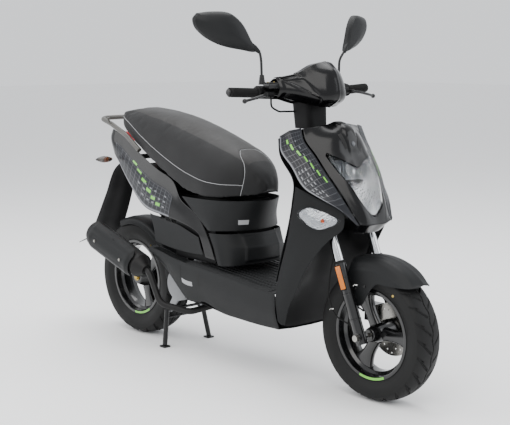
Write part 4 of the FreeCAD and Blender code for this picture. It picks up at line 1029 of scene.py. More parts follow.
def inflate(cushion, limit):
    """Fills the cushion by cloth pressure, with the foot held and every point's travel capped."""
    remesh = cushion.modifiers.new("even", "REMESH")
    remesh.mode = "VOXEL"
    remesh.voxel_size = VOXEL
    applied(cushion)
    rest = np.array([v.co for v in cushion.data.vertices])
    held = cushion.vertex_groups.new(name="held")
    seam = seam_height()
    for vertex in cushion.data.vertices:
        if vertex.co.z < seam(vertex.co.y):
            held.add([vertex.index], 1.0, "REPLACE")
    cloth = cushion.modifiers.new("cloth", "CLOTH")
    cloth.settings.quality = 4
    cloth.settings.mass = 0.4
    cloth.settings.tension_stiffness = 25
    cloth.settings.compression_stiffness = 25
    cloth.settings.use_pressure = True
    cloth.settings.uniform_pressure_force = 4.0
    cloth.settings.effector_weights.gravity = 0.0
    cloth.settings.vertex_group_mass = "held"
    cloth.point_cache.frame_end = FILL_STEPS
    for step in range(1, FILL_STEPS + 1):
        bpy.context.scene.frame_set(step)
    applied(cushion)
    bpy.context.scene.frame_set(1)
    moved = np.array([v.co for v in cushion.data.vertices]) - rest
    size = np.linalg.norm(moved, axis=1, keepdims=True)
    capped = rest + moved * np.minimum(1.0, limit * 0.001 / np.maximum(size, 1e-9))
    cushion.data.vertices.foreach_set("co", capped.reshape(-1).astype(np.float32))
    cushion.data.update()
    return cushion


def seam_height():
    """Height of the seat's side seam at any place along it."""
    at = [rear(0, row[0], 0)[1] for row in SEAT]
    seam = [row[2] * 0.001 for row in SEAT]
    return lambda y: float(np.interp(y, at, seam)) - 0.012


def seam_paths():
    """Seam lines of the left half: along the flank, and across in front of the rider."""
    cross = [np.array(point) * 0.001 for point in (
        (0, -62, 843), (38, -68, 840), (60, -89, 822), (78, -129, 790), (90, -143, 744), (94, -137, 705),
        (98, -128, 664))]
    side = [cross[5]] + [rear(row[5], row[0], row[2]) for row in SEAT[3:]]
    return through(side, 30), through(cross, 30)


def press_seams(cushion, paths, width, depth):
    """Draws the skin in along the seam lines."""
    line = np.vstack([*paths, *map(flipped, paths)])
    tree = KDTree(len(line))
    for k, point in enumerate(line):
        tree.insert(point, k)
    tree.balance()
    for vertex in cushion.data.vertices:
        near = tree.find(vertex.co)[2]
        if near < width * 0.001:
            share = 1.0 - near / (width * 0.001)
            vertex.co -= vertex.normal * depth * 0.001 * share * share
    cushion.data.update()


def build_seat():
    cushion = inflate(seat_form(), sizes().seat_swell)
    smooth = cushion.modifiers.new("smooth", "SMOOTH")
    smooth.factor = 0.5
    smooth.iterations = 6
    finer = cushion.modifiers.new("finer", "SUBSURF")
    finer.levels = 1
    finer.render_levels = 1
    applied(cushion)
    skin = surface(cushion)
    laid = []
    for path in seam_paths():
        laid.append(np.array([np.array(skin.find_nearest(Vector(p))[0]) for p in path]))
    press_seams(cushion, laid, 9.0, 2.2)
    cushion.data.materials.append(material("vinyl_top_sheen"))
    # Upward faces of the sitting panel take the lighter brown vinyl: the panel's own smoother vinyl, with a
    # painted sheen in its lighter tone.
    for face in cushion.data.polygons:
        y = face.center.y
        half = np.interp(y, [rear(0, r[0], 0)[1] for r in SEAT], [r[6] * 0.001 for r in SEAT])
        if abs(face.center.x) < half * 0.86 and face.normal.z > 0.3 and y > rear(0, -720, 0)[1]:
            face.material_index = 1
    cushion.data.shade_smooth()
    skin = surface(cushion)
    threads = []
    for path in laid:
        for way in (path, flipped(path)):
            line = []
            for point in way:
                at, normal = skin.find_nearest(Vector(point))[:2]
                line.append(np.array(at + normal * 0.0005))
            threads.append(tube("thread", through(line[::3], 3), sizes().thread_width / 2, "thread", 6))
    place(cushion, "seat", "seat_cushion", finish="seat_vinyl")
    place(joined(*threads), "seat", finish="seat_vinyl").name = "seat_seams"


# ---------------------------------------------------------------- handlebar
def cover_row(x, *points):
    return [front(x, y, z) for y, z in points]


def dial_place():
    """Centre of the dial's face and the way it looks."""
    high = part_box("speedometer")[1]
    out = unit([0, 0.487, 0.873])
    return np.array([0, high[1], high[2]]) - np.array([0, 0.873, 0.487]) * 0.041, out


def build_handlebar_covers():
    def brow(grid):
        x = np.abs(grid[..., 0]) * 1000
        z = grid[..., 2] * 1000
        ridge = ramp(1 - x / 7) * 0.002
        outside = ramp((x - 60 - (z - 1045) * 0.4) / 4)
        ends = ramp((152 - x) / 8)
        upper = ramp(1 - np.abs(z - 1113 + (x - 90) * 0.12) / 5)
        lower = ramp(1 - np.abs(z - 1052 - (x - 72) * 0.69) / 5)
        return ridge + outside * ends * ((upper + lower) * 0.005 - 0.005)
    half = [
        cover_row(160, (368, 1112), (360, 1114), (344, 1096), (338, 1066), (350, 1046)),
        cover_row(125, (346, 1120), (334, 1122), (312, 1100), (300, 1060), (326, 1034)),
        cover_row(85, (332, 1131), (314, 1133), (284, 1106), (262, 1050), (296, 1020)),
        cover_row(45, (304, 1158), (280, 1161), (238, 1124), (216, 1040), (256, 1010)),
        cover_row(0, (300, 1163), (272, 1168), (222, 1132), (204, 1040), (250, 1008)),
    ]
    rows = half + [flipped(row) for row in half[-2::-1]]
    skin = Skin(rows, (14, 14), ((), (1,)), brow)
    made = shell("cowl_front_skin", skin, WALL, "lacquer")
    place(made, "steering", "handlebar_cover_front", finish="gloss_black")
    half = [
        cover_row(158, (380, 1036), (402, 1060), (400, 1090), (374, 1108)),
        cover_row(125, (382, 1034), (403, 1060), (400, 1094), (354, 1113)),
        cover_row(85, (384, 1024), (404, 1060), (398, 1100), (340, 1123)),
        cover_row(45, (386, 1016), (404, 1060), (394, 1108), (312, 1152)),
        cover_row(0, (388, 1014), (404, 1060), (392, 1112), (308, 1158)),
    ]
    rows = half + [flipped(row) for row in half[-2::-1]]
    rear_skin = shell("cowl_rear", Skin(rows, (8, 8), ((), (2,))), WALL, "moulding")
    face, out = dial_place()
    hole = turn("tool", [(-40, 0), (-40, 42), (20, 42), (20, 0)], face, out, "hole_shade_and_dial_black", 64)
    rear_skin = combined(rear_skin, hole)
    loops = []
    for half_x, near_y, far_y, z in ((46, 296, 384, 930), (49, 300, 388, 976), (52, 304, 392, 1023)):
        centre_y = (near_y + far_y) / 2
        loop = []
        for k in range(40):
            a = 2 * math.pi * (k + 0.5) / 40
            px = half_x * squared(math.cos(a), 0.35)
            py = (far_y - near_y) / 2 * squared(math.sin(a), 0.35)
            loop.append(front(px, centre_y + py, z))
        loops.append(loop)
    sleeve = loft("sleeve", loops, "black_plastic", 50.0)
    place(joined(rear_skin, sleeve), "steering", "handlebar_cover_rear", finish="matte_grey")


def build_dash():
    face, out = dial_place()
    case = turn("dash_skin", [(-30, 0), (-30, 39), (-2, 41), (1, 41), (1, 37.5), (-1.5, 36.5), (-1.5, 0)],
                face, out, "black_plastic", 64)
    dial = turn("dial", [(-1.4, 0), (-1.4, 36), (-1.2, 36), (-1.2, 0)], face, out, "hole_shade_and_dial_black", 48)
    up = unit([0, -0.873, 0.487])
    marks = []
    for k in range(25):
        angle = math.radians(-120 + 10 * k)
        way = X * -math.sin(angle) + up * math.cos(angle)
        long = 3.0 if k % 2 == 0 else 1.6
        marks.append(rounded_box("mark", face + way * (0.033 - long * 0.0005) - out * 0.0009,
                                 (way, np.cross(out, way), out), (long, 0.35, 0.12), "white_plastic", 0.05))
    way = unit(X * 0.85 + up * -0.5)
    needle = rounded_box("needle", face + way * 0.011 - out * 0.0004, (way, np.cross(out, way), out),
                         (16, 0.7, 0.3), "reflex", 0.2)
    hub = turn("hub", [(-1.2, 0), (-1.2, 4), (0.4, 3.4), (0.4, 0)], face, out, "rubber", 24)
    glass = turn("glass", [(0.8, 0), (0.8, 37.4), (1.5, 37.4), (2.0, 0)], face, out, "clear", 48)
    place(joined(case, dial, *marks, needle, hub, glass), "steering", "speedometer", finish="black_plastic")


def grip_line(side):
    """Inner end, direction and length of a grip, from the frame's own grip."""
    low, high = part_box("left_grip" if side > 0 else "throttle_grip")
    outer = max(abs(low[0]), abs(high[0]))
    run = unit([side * 0.209, 0.018, 0.009])
    centre = np.array((low + high) / 2)
    inner = 0.2265
    middle_x = side * (outer + inner) / 2
    length = (outer - inner) / abs(run[0])
    return centre + X * (middle_x - centre[0]) - run * length / 2, run, length * 1000


def build_grips():
    for side, body, name in ((1, "steering", "left_grip"), (-1, "throttle", "throttle_grip")):
        start, run, length = grip_line(side)
        profile = [(0, 11.2), (0, 22), (1, 23), (4, 23), (5.5, 21), (6, 15.5)]
        for k in range(25):
            s = 9 + k * (length - 18) / 25
            profile += [(s, 15.6), (s + 0.8, 16.8), (s + 2.4, 16.8), (s + 3.2, 15.6)]
        profile += [(length - 6, 16.2), (length - 1, 16.6), (length, 15), (length, 0), (length - 4.5, 0),
                    (length - 4.5, 11.2)]
        made = turn(name + "_skin", profile, start, run, "rubber", 40, loop=True)
        place(made, body, name, finish="rubber")
        end = turn(name + "_end", [(-1, 0), (-1, 12), (5, 12.5), (8, 10), (9, 0)],
                   start + run * (length - 1) * 0.001, run, "powder", 32)
        place(end, body, finish="frame_paint")


MIRROR_JOINT = front(223, 383, 1207)
MIRROR_TURN = math.radians(25)
MIRROR_OUT = np.array([math.cos(MIRROR_TURN), math.sin(MIRROR_TURN), 0.0])
MIRROR_AHEAD = np.array([math.sin(MIRROR_TURN), -math.cos(MIRROR_TURN), 0.0])


def mirror_loop(depth, shrink):
    """One outline of the teardrop head, depth millimetres ahead of its widest part."""
    outline = [(4, -9), (24, 33), (58, 90), (95, 119), (165, 126), (216, 120), (230, 102), (226, 78),
               (200, 48), (158, 22), (60, -4)]
    centre = (140, 76)
    loop = []
    for reach, rise in outline:
        reach = centre[0] + (reach - centre[0]) * shrink
        rise = centre[1] + (rise - centre[1]) * shrink
        loop.append(MIRROR_JOINT + (MIRROR_OUT * reach + MIRROR_AHEAD * depth + [0, 0, rise + 6]) * 0.001)
    return closed_curve(loop, 6, (5,))


def build_mirrors():
    shapes = ((-14, 0.965), (-13, 0.985), (-9, 1.0), (0, 0.995), (10, 0.93), (20, 0.76), (27, 0.54),
              (30, 0.3))
    glass_shapes = ((-14.2, 0.9), (-15.0, 0.89), (-15.2, 0.5))
    for side, name in ((1, "left_mirror_head"), (-1, "right_mirror_head")):
        flip = (lambda p: p) if side > 0 else flipped
        head = loft(name + "_skin", [flip(mirror_loop(*shape)) for shape in shapes], "moulding", 24.0)
        body = "left_mirror" if side > 0 else "right_mirror"
        glass = loft("glass", [flip(mirror_loop(*shape)) for shape in glass_shapes], "mirror", 50.0)
        at = flip(MIRROR_JOINT)
        neck = turn("neck", [(-10, 0), (-10, 6), (0, 8), (14, 10), (34, 8), (40, 0)], at,
                    flip(MIRROR_OUT * 0.75 + np.array([0, 0, 0.65])), "moulding", 24)
        place(joined(head, glass, neck), body, name, finish="matte_grey")


def build_controls():
    """Brake hose, master cylinder and switches on the bar; the pods and levers are the frame's own."""
    start, run = grip_line(-1)[:2]
    inner = start - run * 0.045
    tank = rounded_box("master_cylinder", inner + np.array([-0.004, -0.024, 0.026]), UPRIGHT,
                       (24, 17, 9), "powder", 3.0)
    lid = rounded_box("lid", inner + np.array([-0.004, -0.024, 0.0365]), UPRIGHT,
                      (21, 15, 2.5), "black_plastic", 1.5)
    screws = [bolt("screw", inner + np.array([x, -0.024, 0.039]), [0, 0, 1], 2.6, 2.0, "zinc", 12)
              for x in (-0.019, 0.011)]
    place(joined(tank, lid, *screws), "steering", finish="frame_paint")
    route = [inner + np.array(step) for step in ((0.0, -0.02, -0.012), (-0.006, -0.030, -0.045),
                                                 (0.02, -0.030, -0.060), (0.075, -0.012, -0.066),
                                                 (0.132, 0.0, -0.068))]
    place(tube("brake_hose", through(route, 12), 3.4, "rubber"), "steering", finish="rubber")
    start, run = grip_line(1)[:2]
    switch = rounded_box("turn_switch", start - run * 0.03 + np.array([0, 0.021, 0.008]),
                         (X, [0, 0.3, 0.95], [0, 0.95, -0.3]), (9, 4, 3.4), "grey_plate", 1.0)
    place(switch, "steering", finish="black_plastic")


# ---------------------------------------------------------------- fork, brake and fender
def build_fender():
    tyre_radius, tyre_half, room, side_room = 0.2365, 0.059, 0.038, 0.013
    radius = tyre_radius + room
    full = tyre_half + side_room
    stations = [(-192, 190, 44), (-180, 189, 28), (-160, 188, 13), (-135, 188, 4), (-83, 188, 0),
                (-43, 186, 0), (-14, 157, 0), (22, 104, 0), (44, 100, 0), (62, 120, 0), (84, 205, 0)]
    rows = []
    for y, edge, pinch in stations:
        y, edge = y * 0.001, edge * 0.001
        half = full - pinch * 0.001
        top = math.sqrt(radius ** 2 - y ** 2)
        side = max(top - 0.042, edge + 0.004)
        section = ((half + 0.001, edge), (half - 0.002, side), (half * 0.66, max(top - 0.008, edge + 0.005)),
                   (0, max(top, edge + 0.006)))
        rows.append([FRONT_AXLE + np.array([x, y, z]) for x, z in section])

    def crown(grid):
        x = np.abs(grid[..., 0]) * 1000
        return np.exp(-(x / 9.0) ** 2) * 0.0018 - np.exp(-((x - 50) / 5.0) ** 2) * 0.0012
    skin = Skin(across(rows), (6, 12), ((), (1, 5)), crown)
    made = shell("front_fender_skin", skin, WALL, "moulding", 0.9)
    place(made, "fork_lower", "front_fender", finish="matte_grey")
    bolts = []
    for side in (-1, 1):
        for u in (6.6, 8.2):
            v = 0.45 if side > 0 else 5.55
            bolts.append(bolt("fender_bolt", skin.at(u, v, 0.0002), [side, 0, 0.1], 4.5, 4.0, "powder"))
    place(joined(*bolts), "fork_lower", finish="frame_paint")


def build_fork():
    """Reflectors, seals, leg bands, caliper boss and cable ties; the tubes and legs are the frame's own."""
    spacing = 0.098
    pieces = []
    for side in (-1, 1):
        top = fork(side * spacing * 1000, 264)
        pieces.append(turn("wiper", [(-3, 15.2), (-3, 20.5), (3, 20.5), (7, 17.5), (7, 15.2)], top, STEER,
                           "rubber", 36, loop=True))
        for s in (60, 150, 205):
            ring = [(0, 20.0), (1.2, 21.2), (4.8, 21.2), (6, 20.0)]
            pieces.append(turn("band", ring, fork(side * spacing * 1000, s), STEER, "enamel", 36, loop=True))
    place(joined(*pieces), "fork_lower", finish="rim_black")
    marks = []
    for side in (-1, 1):
        centre = fork(side * 121, 212, 6)
        out = unit([side * 0.8, -0.6 * math.cos(RAKE), 0.6 * math.sin(RAKE)])
        axes = (np.cross(STEER, out), STEER, out)
        marks.append(rounded_box("reflector_back", centre, axes, (10.5, 44, 3.0), "black_plastic", 2.5))
        marks.append(rounded_box("reflector", centre + out * 0.003, axes, (8.5, 41, 2.2), "reflex", 2.0))
    place(joined(*marks), "fork_lower", finish="rim_black")
    low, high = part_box("brake_caliper")
    centre = np.array((low + high) / 2)
    outside = rounded_box("caliper_boss", centre + np.array([0.024, 0.002, 0.004]), UPRIGHT,
                          (6, 20, 24), "enamel", 3.0)
    bolts = [bolt("caliper_bolt", centre + np.array([0.030, y, z]), X, 5.0, 5.0, "steel")
             for y, z in ((-0.008, 0.018), (0.012, -0.018))]
    place(joined(outside, *bolts), "fork_lower", finish="rim_black")
    ties = []
    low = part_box("speedo_cable")[0]
    x = low[0] + 0.0052
    for z in (0.33, 0.42):
        near = [v.co for v in frame["nodes"]["speedo_cable"].data.vertices if abs(v.co.z - z) < 0.012]
        at = np.mean([np.array(p) for p in near], axis=0) if near else np.array([x, low[1], z])
        tail = [at, at + np.array([-0.012, -0.004, 0.004]), at + np.array([-0.022, -0.006, 0.001])]
        ties.append(tube("tie_tail", tail, 1.0, "white_plastic", 6))
        ties.append(turn("tie", [(-1.5, 2.6), (-1.5, 3.8), (1.5, 3.8), (1.5, 2.6)], at, [0, 0.1, 1],
                         "white_plastic", 20, loop=True))
    place(joined(*ties), "fork_lower", finish="rubber")


# ---------------------------------------------------------------- wheels
def tyre_mesh(name, centre, radius, width, rim_width, blocks, depth, paint="tyre"):
    """Tyre with curved grooves swept round the crown and moulded rings on its walls, all in millimetres."""
    half = width / 2
    seat = rim_width / 2 - 4.8
    bead, arch = 152.3, 26.0
    crown = radius - arch
    wall = [(seat, bead), (seat, 161.5), (seat + 3.5, 163.0), (seat + 4.5, 167.0), (seat + 7.0, 170.0)]
    belly = (crown + 161.0) / 2 + 4.0
    shoulder = math.radians(80)
    bulge = through([(seat + 7.0, 170.0), (half - 1.0, belly - 3), (half, belly + 6),
                     (half * math.sin(shoulder), crown + arch * math.cos(shoulder))], 5)
    side = wall + [tuple(p) for p in bulge[1:]]
    arc = []
    for k in range(77):
        angle = math.radians(76.0 - 2.0 * k)
        arc.append((half * math.sin(angle), crown + arch * math.cos(angle)))
    left = side + arc + [(-x, r) for x, r in reversed(side)]
    inner = half - 9.0
    under = [(-seat + 10, bead), (-inner, crown - 12), (-inner * 0.7, crown + 8), (0, radius - 11),
             (inner * 0.7, crown + 8), (inner, crown - 12), (seat - 10, bead)]
    profile = np.array(left + under)
    steps = 640
    points = np.zeros((steps, len(profile), 3))
    crown_part = slice(len(side), len(side) + len(arc))
    x = profile[:, 0]
    crown_x = x[crown_part]
    a = np.abs(crown_x) / half
    for step in range(steps):
        theta = 2 * math.pi * step / steps
        r = profile[:, 1].copy()
        turns = theta * blocks / (2 * math.pi) + np.where(crown_x > 0, 0.5, 0.0)
        sweep = (turns + 0.95 * a ** 1.4) % 1.0
        wide = ramp((0.085 - np.abs(sweep - 0.5)) / 0.03) * ramp((a - 0.10) / 0.04)
        short = (turns + 0.3 + 0.6 * a ** 1.2) % 1.0
        thin = ramp((0.045 - np.abs(short - 0.5)) / 0.02) * ramp((a - 0.52) / 0.05)
        weave = np.abs(crown_x / half - 0.05 * math.sin(theta * blocks)) < 0.028
        groove = np.maximum(np.maximum(wide, thin) * ramp((0.97 - a) / 0.04), weave * 1.0)
        r[crown_part] -= groove * depth
        points[step, :, 0] = x
        points[step, :, 1] = r * math.cos(theta)
        points[step, :, 2] = r * math.sin(theta)
    points = points * 0.001 + centre
    columns = len(profile)
    faces = strips(steps, columns, ring=True)
    for i in range(steps):
        k = (i + 1) % steps
        faces.append((i * columns + columns - 1, k * columns + columns - 1, k * columns, i * columns))
    return make(name, points.reshape(-1, 3), faces, paint, smooth=28.0)


def wheel_spoke(name, centre, inner, outer, angle_deg):
    """Cast spoke with a rounded section, waisted near the hub and flaring to the rim."""
    loops = []
    for share in np.linspace(0, 1, 15):
        reach = inner + (outer - inner) * share
        wide = 24.0 - 4.0 * math.sin(share * math.pi) + 22.0 * share ** 3.2
        thick = 13.0 + 3.0 * (1 - share) ** 2 + 4.0 * share ** 3
        loop = []
        for k in range(28):
            a = 2 * math.pi * k / 28
            loop.append((thick * squared(math.cos(a), 0.55), wide * squared(math.sin(a), 0.7), reach))
        loops.append(loop)
    loops = np.array(loops)
    turn_by = math.radians(angle_deg)
    y = loops[..., 1] * math.cos(turn_by) - loops[..., 2] * math.sin(turn_by)
    z = loops[..., 1] * math.sin(turn_by) + loops[..., 2] * math.cos(turn_by)
    points = np.stack([loops[..., 0], y, z], axis=-1) * 0.001 + centre
    return loft(name, points, "enamel", 50.0)


def wheel_mesh(name, centre, rim_width, hub, first_deg, spokes):
    half = rim_width / 2
    top = [(-half, 160), (-half + 1, 161), (-half + 3.6, 161), (-half + 4.5, 160), (-half + 4.5, 152.5),
           (-half + 22, 150), (-half + 30, 138), (half - 30, 138), (half - 22, 150), (half - 4.5, 152.5),
           (half - 4.5, 160), (half - 3.6, 161), (half - 1, 161), (half, 160)]
    under = [(half, 149), (half - 4, 147.5), (half - 24, 144), (half - 31, 133), (-half + 31, 133),
             (-half + 24, 144), (-half + 4, 147.5), (-half, 149)]
    barrel = turn(name, top + under, centre, X, "enamel", 180, loop=True, smooth=32.0)
    softened(barrel, 0.6, 32.0)
    core = softened(turn("hub", hub, centre, X, "enamel", 64, loop=True), 1.5, 40.0)
    arms = [wheel_spoke("spoke", centre, max(r for _, r in hub) * 0.7, 136, first_deg + k * 360.0 / spokes)
            for k in range(spokes)]
    return joined(barrel, core, *arms)


def rim_marks(name, centre, x, first_deg, sweep_deg, body):
    """Printed green arc along the rim's edge and the valve."""
    def arc(side):
        points = []
        steps = 28
        for k in range(steps + 1):
            a = math.radians(first_deg + sweep_deg * k / steps)
            for r in (0.1499, 0.1585):
                points.append(centre + np.array([side * x * 0.001, r * math.cos(a), r * math.sin(a)]))
        return make("arc", points, strips(steps + 1, 2), "green_film", closed=False)
    lean, barrel = 0.6, 0.139
    valve_at = centre + np.array([0, barrel * math.cos(lean), barrel * math.sin(lean)])
    valve = turn("valve", [(0, 0), (0, 5), (8, 4), (9, 3), (30, 3), (31, 3.6), (38, 3.6), (38, 0)], valve_at,
                 [0.45, -math.cos(lean), -math.sin(lean)], "rubber", 20)
    place(joined(arc(-1), arc(1), valve), body, finish="rim_black").name = name


def build_front_wheel():
    look = sizes()
    made = tyre_mesh("front_tyre_skin", FRONT_AXLE, 236.5, 118, 98, look.tread_blocks, look.tread_depth)
    dot = turn("dot", [(0, 0), (0, 4.5), (0.8, 4.5), (0.8, 0)],
               FRONT_AXLE + np.array([-0.0588, -0.108, 0.155]), [-1, -0.1, 0.15], "zinc", 20)
    place(joined(made, dot), "front_wheel", "front_tyre", finish="tyre")
    hub = [(-54, 6.3), (-54, 22), (-50, 24), (-20, 32), (30, 32), (46, 40), (67.8, 40), (67.8, 6.3)]
    made = wheel_mesh("front_rim_skin", FRONT_AXLE, 98, hub, 90.0, 3)
    place(made, "front_wheel", "front_rim", finish="rim_black")
    rim_marks("front_rim_marks", FRONT_AXLE, 49.3, 245.0, 42.0, "front_wheel")
    bolts = [bolt("disc_bolt", FRONT_AXLE + np.array([0.0722, 0.033 * math.cos(a), 0.033 * math.sin(a)]),
                  X, 4.0, 4.0, "zinc") for a in np.linspace(0.3, 0.3 + 2 * math.pi, 5, endpoint=False)]
    place(joined(*bolts), "front_wheel", finish="brake_steel")


def build_rear_wheel():
    look = sizes()
    made = tyre_mesh("rear_tyre_skin", REAR_AXLE, 243.5, 128, 104, look.tread_blocks, look.tread_depth)
    dot = turn("dot", [(0, 0), (0, 4.5), (0.8, 4.5), (0.8, 0)],
               REAR_AXLE + np.array([-0.0638, -0.118, 0.152]), [-1, -0.1, 0.15], "zinc", 20)
    place(joined(made, dot), "rear_wheel", "rear_tyre", finish="tyre")
    hub = [(-48, 8.6), (-48, 28), (-44, 31), (-10, 46), (10, 62), (50, 62), (50, 8.6)]
    made = wheel_mesh("rear_rim_skin", REAR_AXLE, 104, hub, 45.0, 3)
    place(made, "rear_wheel", "rear_rim", finish="rim_black")
    rim_marks("rear_rim_marks", REAR_AXLE, 52.3, 235.0, 40.0, "rear_wheel")
    nut = bolt("axle_nut", REAR_AXLE + X * -0.049, -X, 12.0, 9.0, "zinc")
    place(nut, "rear_wheel", finish="brake_steel")


# ---------------------------------------------------------------- engine and rear end
def build_rear_end():
    tyre_radius, tyre_half, room, side_room = 0.2435, 0.064, 0.015, 0.005
    radius = tyre_radius + room
    half = tyre_half + side_room
    rows = []
    for step in range(8):
        turned = math.radians(-22 + step * 15)
        spread = [(half, radius - 0.030), (half - 0.003, radius - 0.008), (half * 0.6, radius + 0.002),
                  (0, radius + 0.004)]
        rows.append([REAR_AXLE + np.array([x, -r * math.sin(turned), r * math.cos(turned)])
                     for x, r in spread])
    skin = Skin(across(rows)[::-1], (6, 6))
    place(shell("hugger_skin", skin, WALL, "moulding", 0.8), "engine", "rear_hugger", finish="matte_grey")
    rise = math.radians(18.0)
    front_end = rear(-182, -205, 338)
    along = np.array([0, math.cos(rise), math.sin(rise)])
    up = np.array([0, -math.sin(rise), math.cos(rise)])
    rows = []
    for station, bulge, top, low in ((12, 8, 46, -46), (30, 14, 72, -70), (160, 14, 80, -75),
                                     (290, 14, 72, -70), (316, 8, 46, -46)):
        reach = 0.050 + bulge * 0.001
        row = []
        for angle in np.linspace(top, low, 7):
            a = math.radians(angle)
            row.append(front_end + along * station * 0.001 - X * reach * math.cos(a)
                       + up * reach * math.sin(a))
        rows.append(row)

    def dish(grid):
        s = (grid - front_end) @ along * 1000
        t = (grid - front_end) @ up * 1000
        inside = (ramp((s - 40) / 6) * ramp((288 - s) / 6)
                  * ramp((30 - np.abs(t)) / 6))
        return -inside * 0.0025
    skin = Skin(rows, (10, 6), ((1, 3), ()), dish)
    guard = shell("silencer_guard_skin", skin, 2.0, "moulding", 0.8)
    bolts = [bolt("guard_bolt", skin.at(u, 3.0, 0.0002), -X, 4.5, 4.0, "steel") for u in (1.3, 2.7)]
    # The hole is a thin near-black disc of painted shade on the guard, not a cut opening.
    hole = turn("hole", [(0, 0), (0, 6), (0.6, 6), (0.6, 0)], skin.at(2.0, 1.2, 0.0), [-0.9, 0, 0.4],
                "hole_shade_and_dial_black", 24)
    place(joined(guard, *bolts, hole), "engine", "muffler_shield", finish="matte_grey")


def build_spring():
    """Coil spring copied from the frame's own; it rides on the shock's upper body, so its top end stays on the
    upper seat.
    """
    source = frame["nodes"]["shock_spring"].data
    coil = make("shock_spring_coil", [v.co for v in source.vertices],
                [tuple(f.vertices) for f in source.polygons], "powder")
    place(coil, "shock_upper", "shock_spring", finish="spring_red")
    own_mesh(coil)


def build_small_parts():
    low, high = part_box("grab_rail")
    profile = [(0, 0), (0, 4), (14, 4), (15, 6.5), (19, 6.5), (20, 0)]
    pins = [turn("bungee_pin", profile, np.array([x, REAR_AXLE[1] + 0.06, 0.908]), [lean, 0, 1], "rail", 20)
            for x, lean in ((low[0] + 0.012, -0.3), (high[0] - 0.012, 0.3))]
    place(joined(*pins), "frame", finish="rail_paint")


PAINTS = {
    "frame_paint": "powder", "gloss_black": "lacquer", "graphite_panel": "graphite", "matte_grey": "moulding",
    "floor_grey": "floor", "black_plastic": "black_plastic", "seat_vinyl": "vinyl", "clear_lens": "clear",
    "red_lens": "red", "smoke_lens": "smoke", "chrome": "chrome", "bare_metal": "cast", "brake_steel": "steel",
    "rail_paint": "rail", "rim_black": "enamel", "tyre": "tyre", "rubber": "rubber", "spring_red": "powder",
}


def paint_frame():
    """Gives every node of the frame the finish of its material slot."""
    slots = {part["node"]: part["material_slot"] for part in frame["record"]["subparts"]}
    for name, piece in frame["nodes"].items():
        piece.data.materials.clear()
        key = "heatproof" if name == "exhaust" else PAINTS[slots[name]]
        piece.data.materials.append(material(key))
        shade(piece.data, 35.0)


# ---------------------------------------------------------------- stage
def build_stage():
    look = sizes()
    scene = bpy.context.scene
    half = 30.0
    points = [(-half, -half, 0), (half, -half, 0), (half, half, 0), (-half, half, 0)]
    floor = make("stage_floor", points, [(0, 1, 2, 3)], "white_plastic", closed=False)
    made = bpy.data.materials.new("Pale studio floor, matte paint")
    made.use_nodes = True
    shader = made.node_tree.nodes["Principled BSDF"]
    shader.inputs["Base Color"].default_value = (*look.floor_colour, 1.0)
    shader.inputs["Roughness"].default_value = 0.7
    floor.data.materials.clear()
    floor.data.materials.append(made)
    world = scene.world or bpy.data.worlds.new("studio")
    scene.world = world
    world.use_nodes = True
    back = world.node_tree.nodes["Background"]
    back.inputs["Color"].default_value = (0.95, 0.97, 1.0, 1.0)
    back.inputs["Strength"].default_value = look.room_light
    aim = np.array([0.0, -0.05, 0.6])
    for name, at, size, power, tint in (
            ("key_light", (-3.4, -2.6, 4.4), (5.0, 4.0), look.key_light, (1.0, 0.98, 0.95)),
            ("fill_light", (3.6, -4.2, 3.0), (4.4, 3.4), look.key_light * 0.45, (0.95, 0.97, 1.0)),
            ("top_light", (0.3, 0.9, 4.6), (4.6, 3.4), look.key_light * 0.9, (1.0, 1.0, 1.0)),
            ("rear_light", (-3.6, 3.2, 2.4), (3.6, 2.6), look.key_light * 0.4, (1.0, 1.0, 1.0))):
        data = bpy.data.lights.new(name, "AREA")
        data.shape = "RECTANGLE"
        data.size, data.size_y = size
        data.energy = power
        data.color = tint
        light = bpy.data.objects.new(name, data)
        light.location = at
        light.rotation_euler = Vector(aim - np.array(at)).to_track_quat("-Z", "Y").to_euler()
        scene.collection.objects.link(light)
    camera_data = bpy.data.cameras.new("camera")
    camera_data.lens = 80.0
    camera_data.sensor_width = 36.0
    camera = bpy.data.objects.new("camera", camera_data)
    target = np.array([0.0, -0.1035, 0.5906])
    turned, lift, reach = math.radians(-42.728), math.radians(8.199), 4.351
    offset = np.array([math.sin(turned) * math.cos(lift), -math.cos(turned) * math.cos(lift), math.sin(lift)])
    camera.location = target + offset * reach
    camera.rotation_euler = Vector(-offset).to_track_quat("-Z", "Y").to_euler()
    scene.collection.objects.link(camera)
    scene.camera = camera


# ---------------------------------------------------------------- add-on
class ScooterLooks(bpy.types.PropertyGroup):
    """Sizes and colours a user would change before building the pieces."""

    tread_blocks: bpy.props.IntProperty(
        name="Tread blocks", description="Grooves round each shoulder of a tyre", default=24, min=8, max=48)
    tread_depth: bpy.props.FloatProperty(
        name="Tread depth", description="Depth of the tyre grooves in millimetres",
        default=4.2, min=0.5, max=7.0)
    seat_swell: bpy.props.FloatProperty(
        name="Seat swell", description="Most that the filling may push the seat cover out, in millimetres",
        default=22.0, min=1.0, max=30.0)
    thread_width: bpy.props.FloatProperty(
        name="Thread width", description="Width of the seat's seam thread in millimetres",
        default=2.2, min=0.5, max=5.0)
    key_light: bpy.props.FloatProperty(
        name="Key light", description="Strength of the largest lamp", default=210.0, min=0.0, unit="POWER")
    room_light: bpy.props.FloatProperty(
        name="Room light", description="Strength of the even light round the stage", default=1.15, min=0.0)
    floor_colour: bpy.props.FloatVectorProperty(
        name="Floor colour", description="Colour of the stage floor", default=(0.94, 0.94, 0.94),
        subtype="COLOR", size=3, min=0.0, max=1.0)


class SCOOTER_OT_paint(bpy.types.Operator):
    """Paint every node of the frame with its slot's finish"""
    bl_idname = "scooter.paint"
    bl_label = "Frame paint"

    def execute(self, context):
        paint_frame()
        return {"FINISHED"}


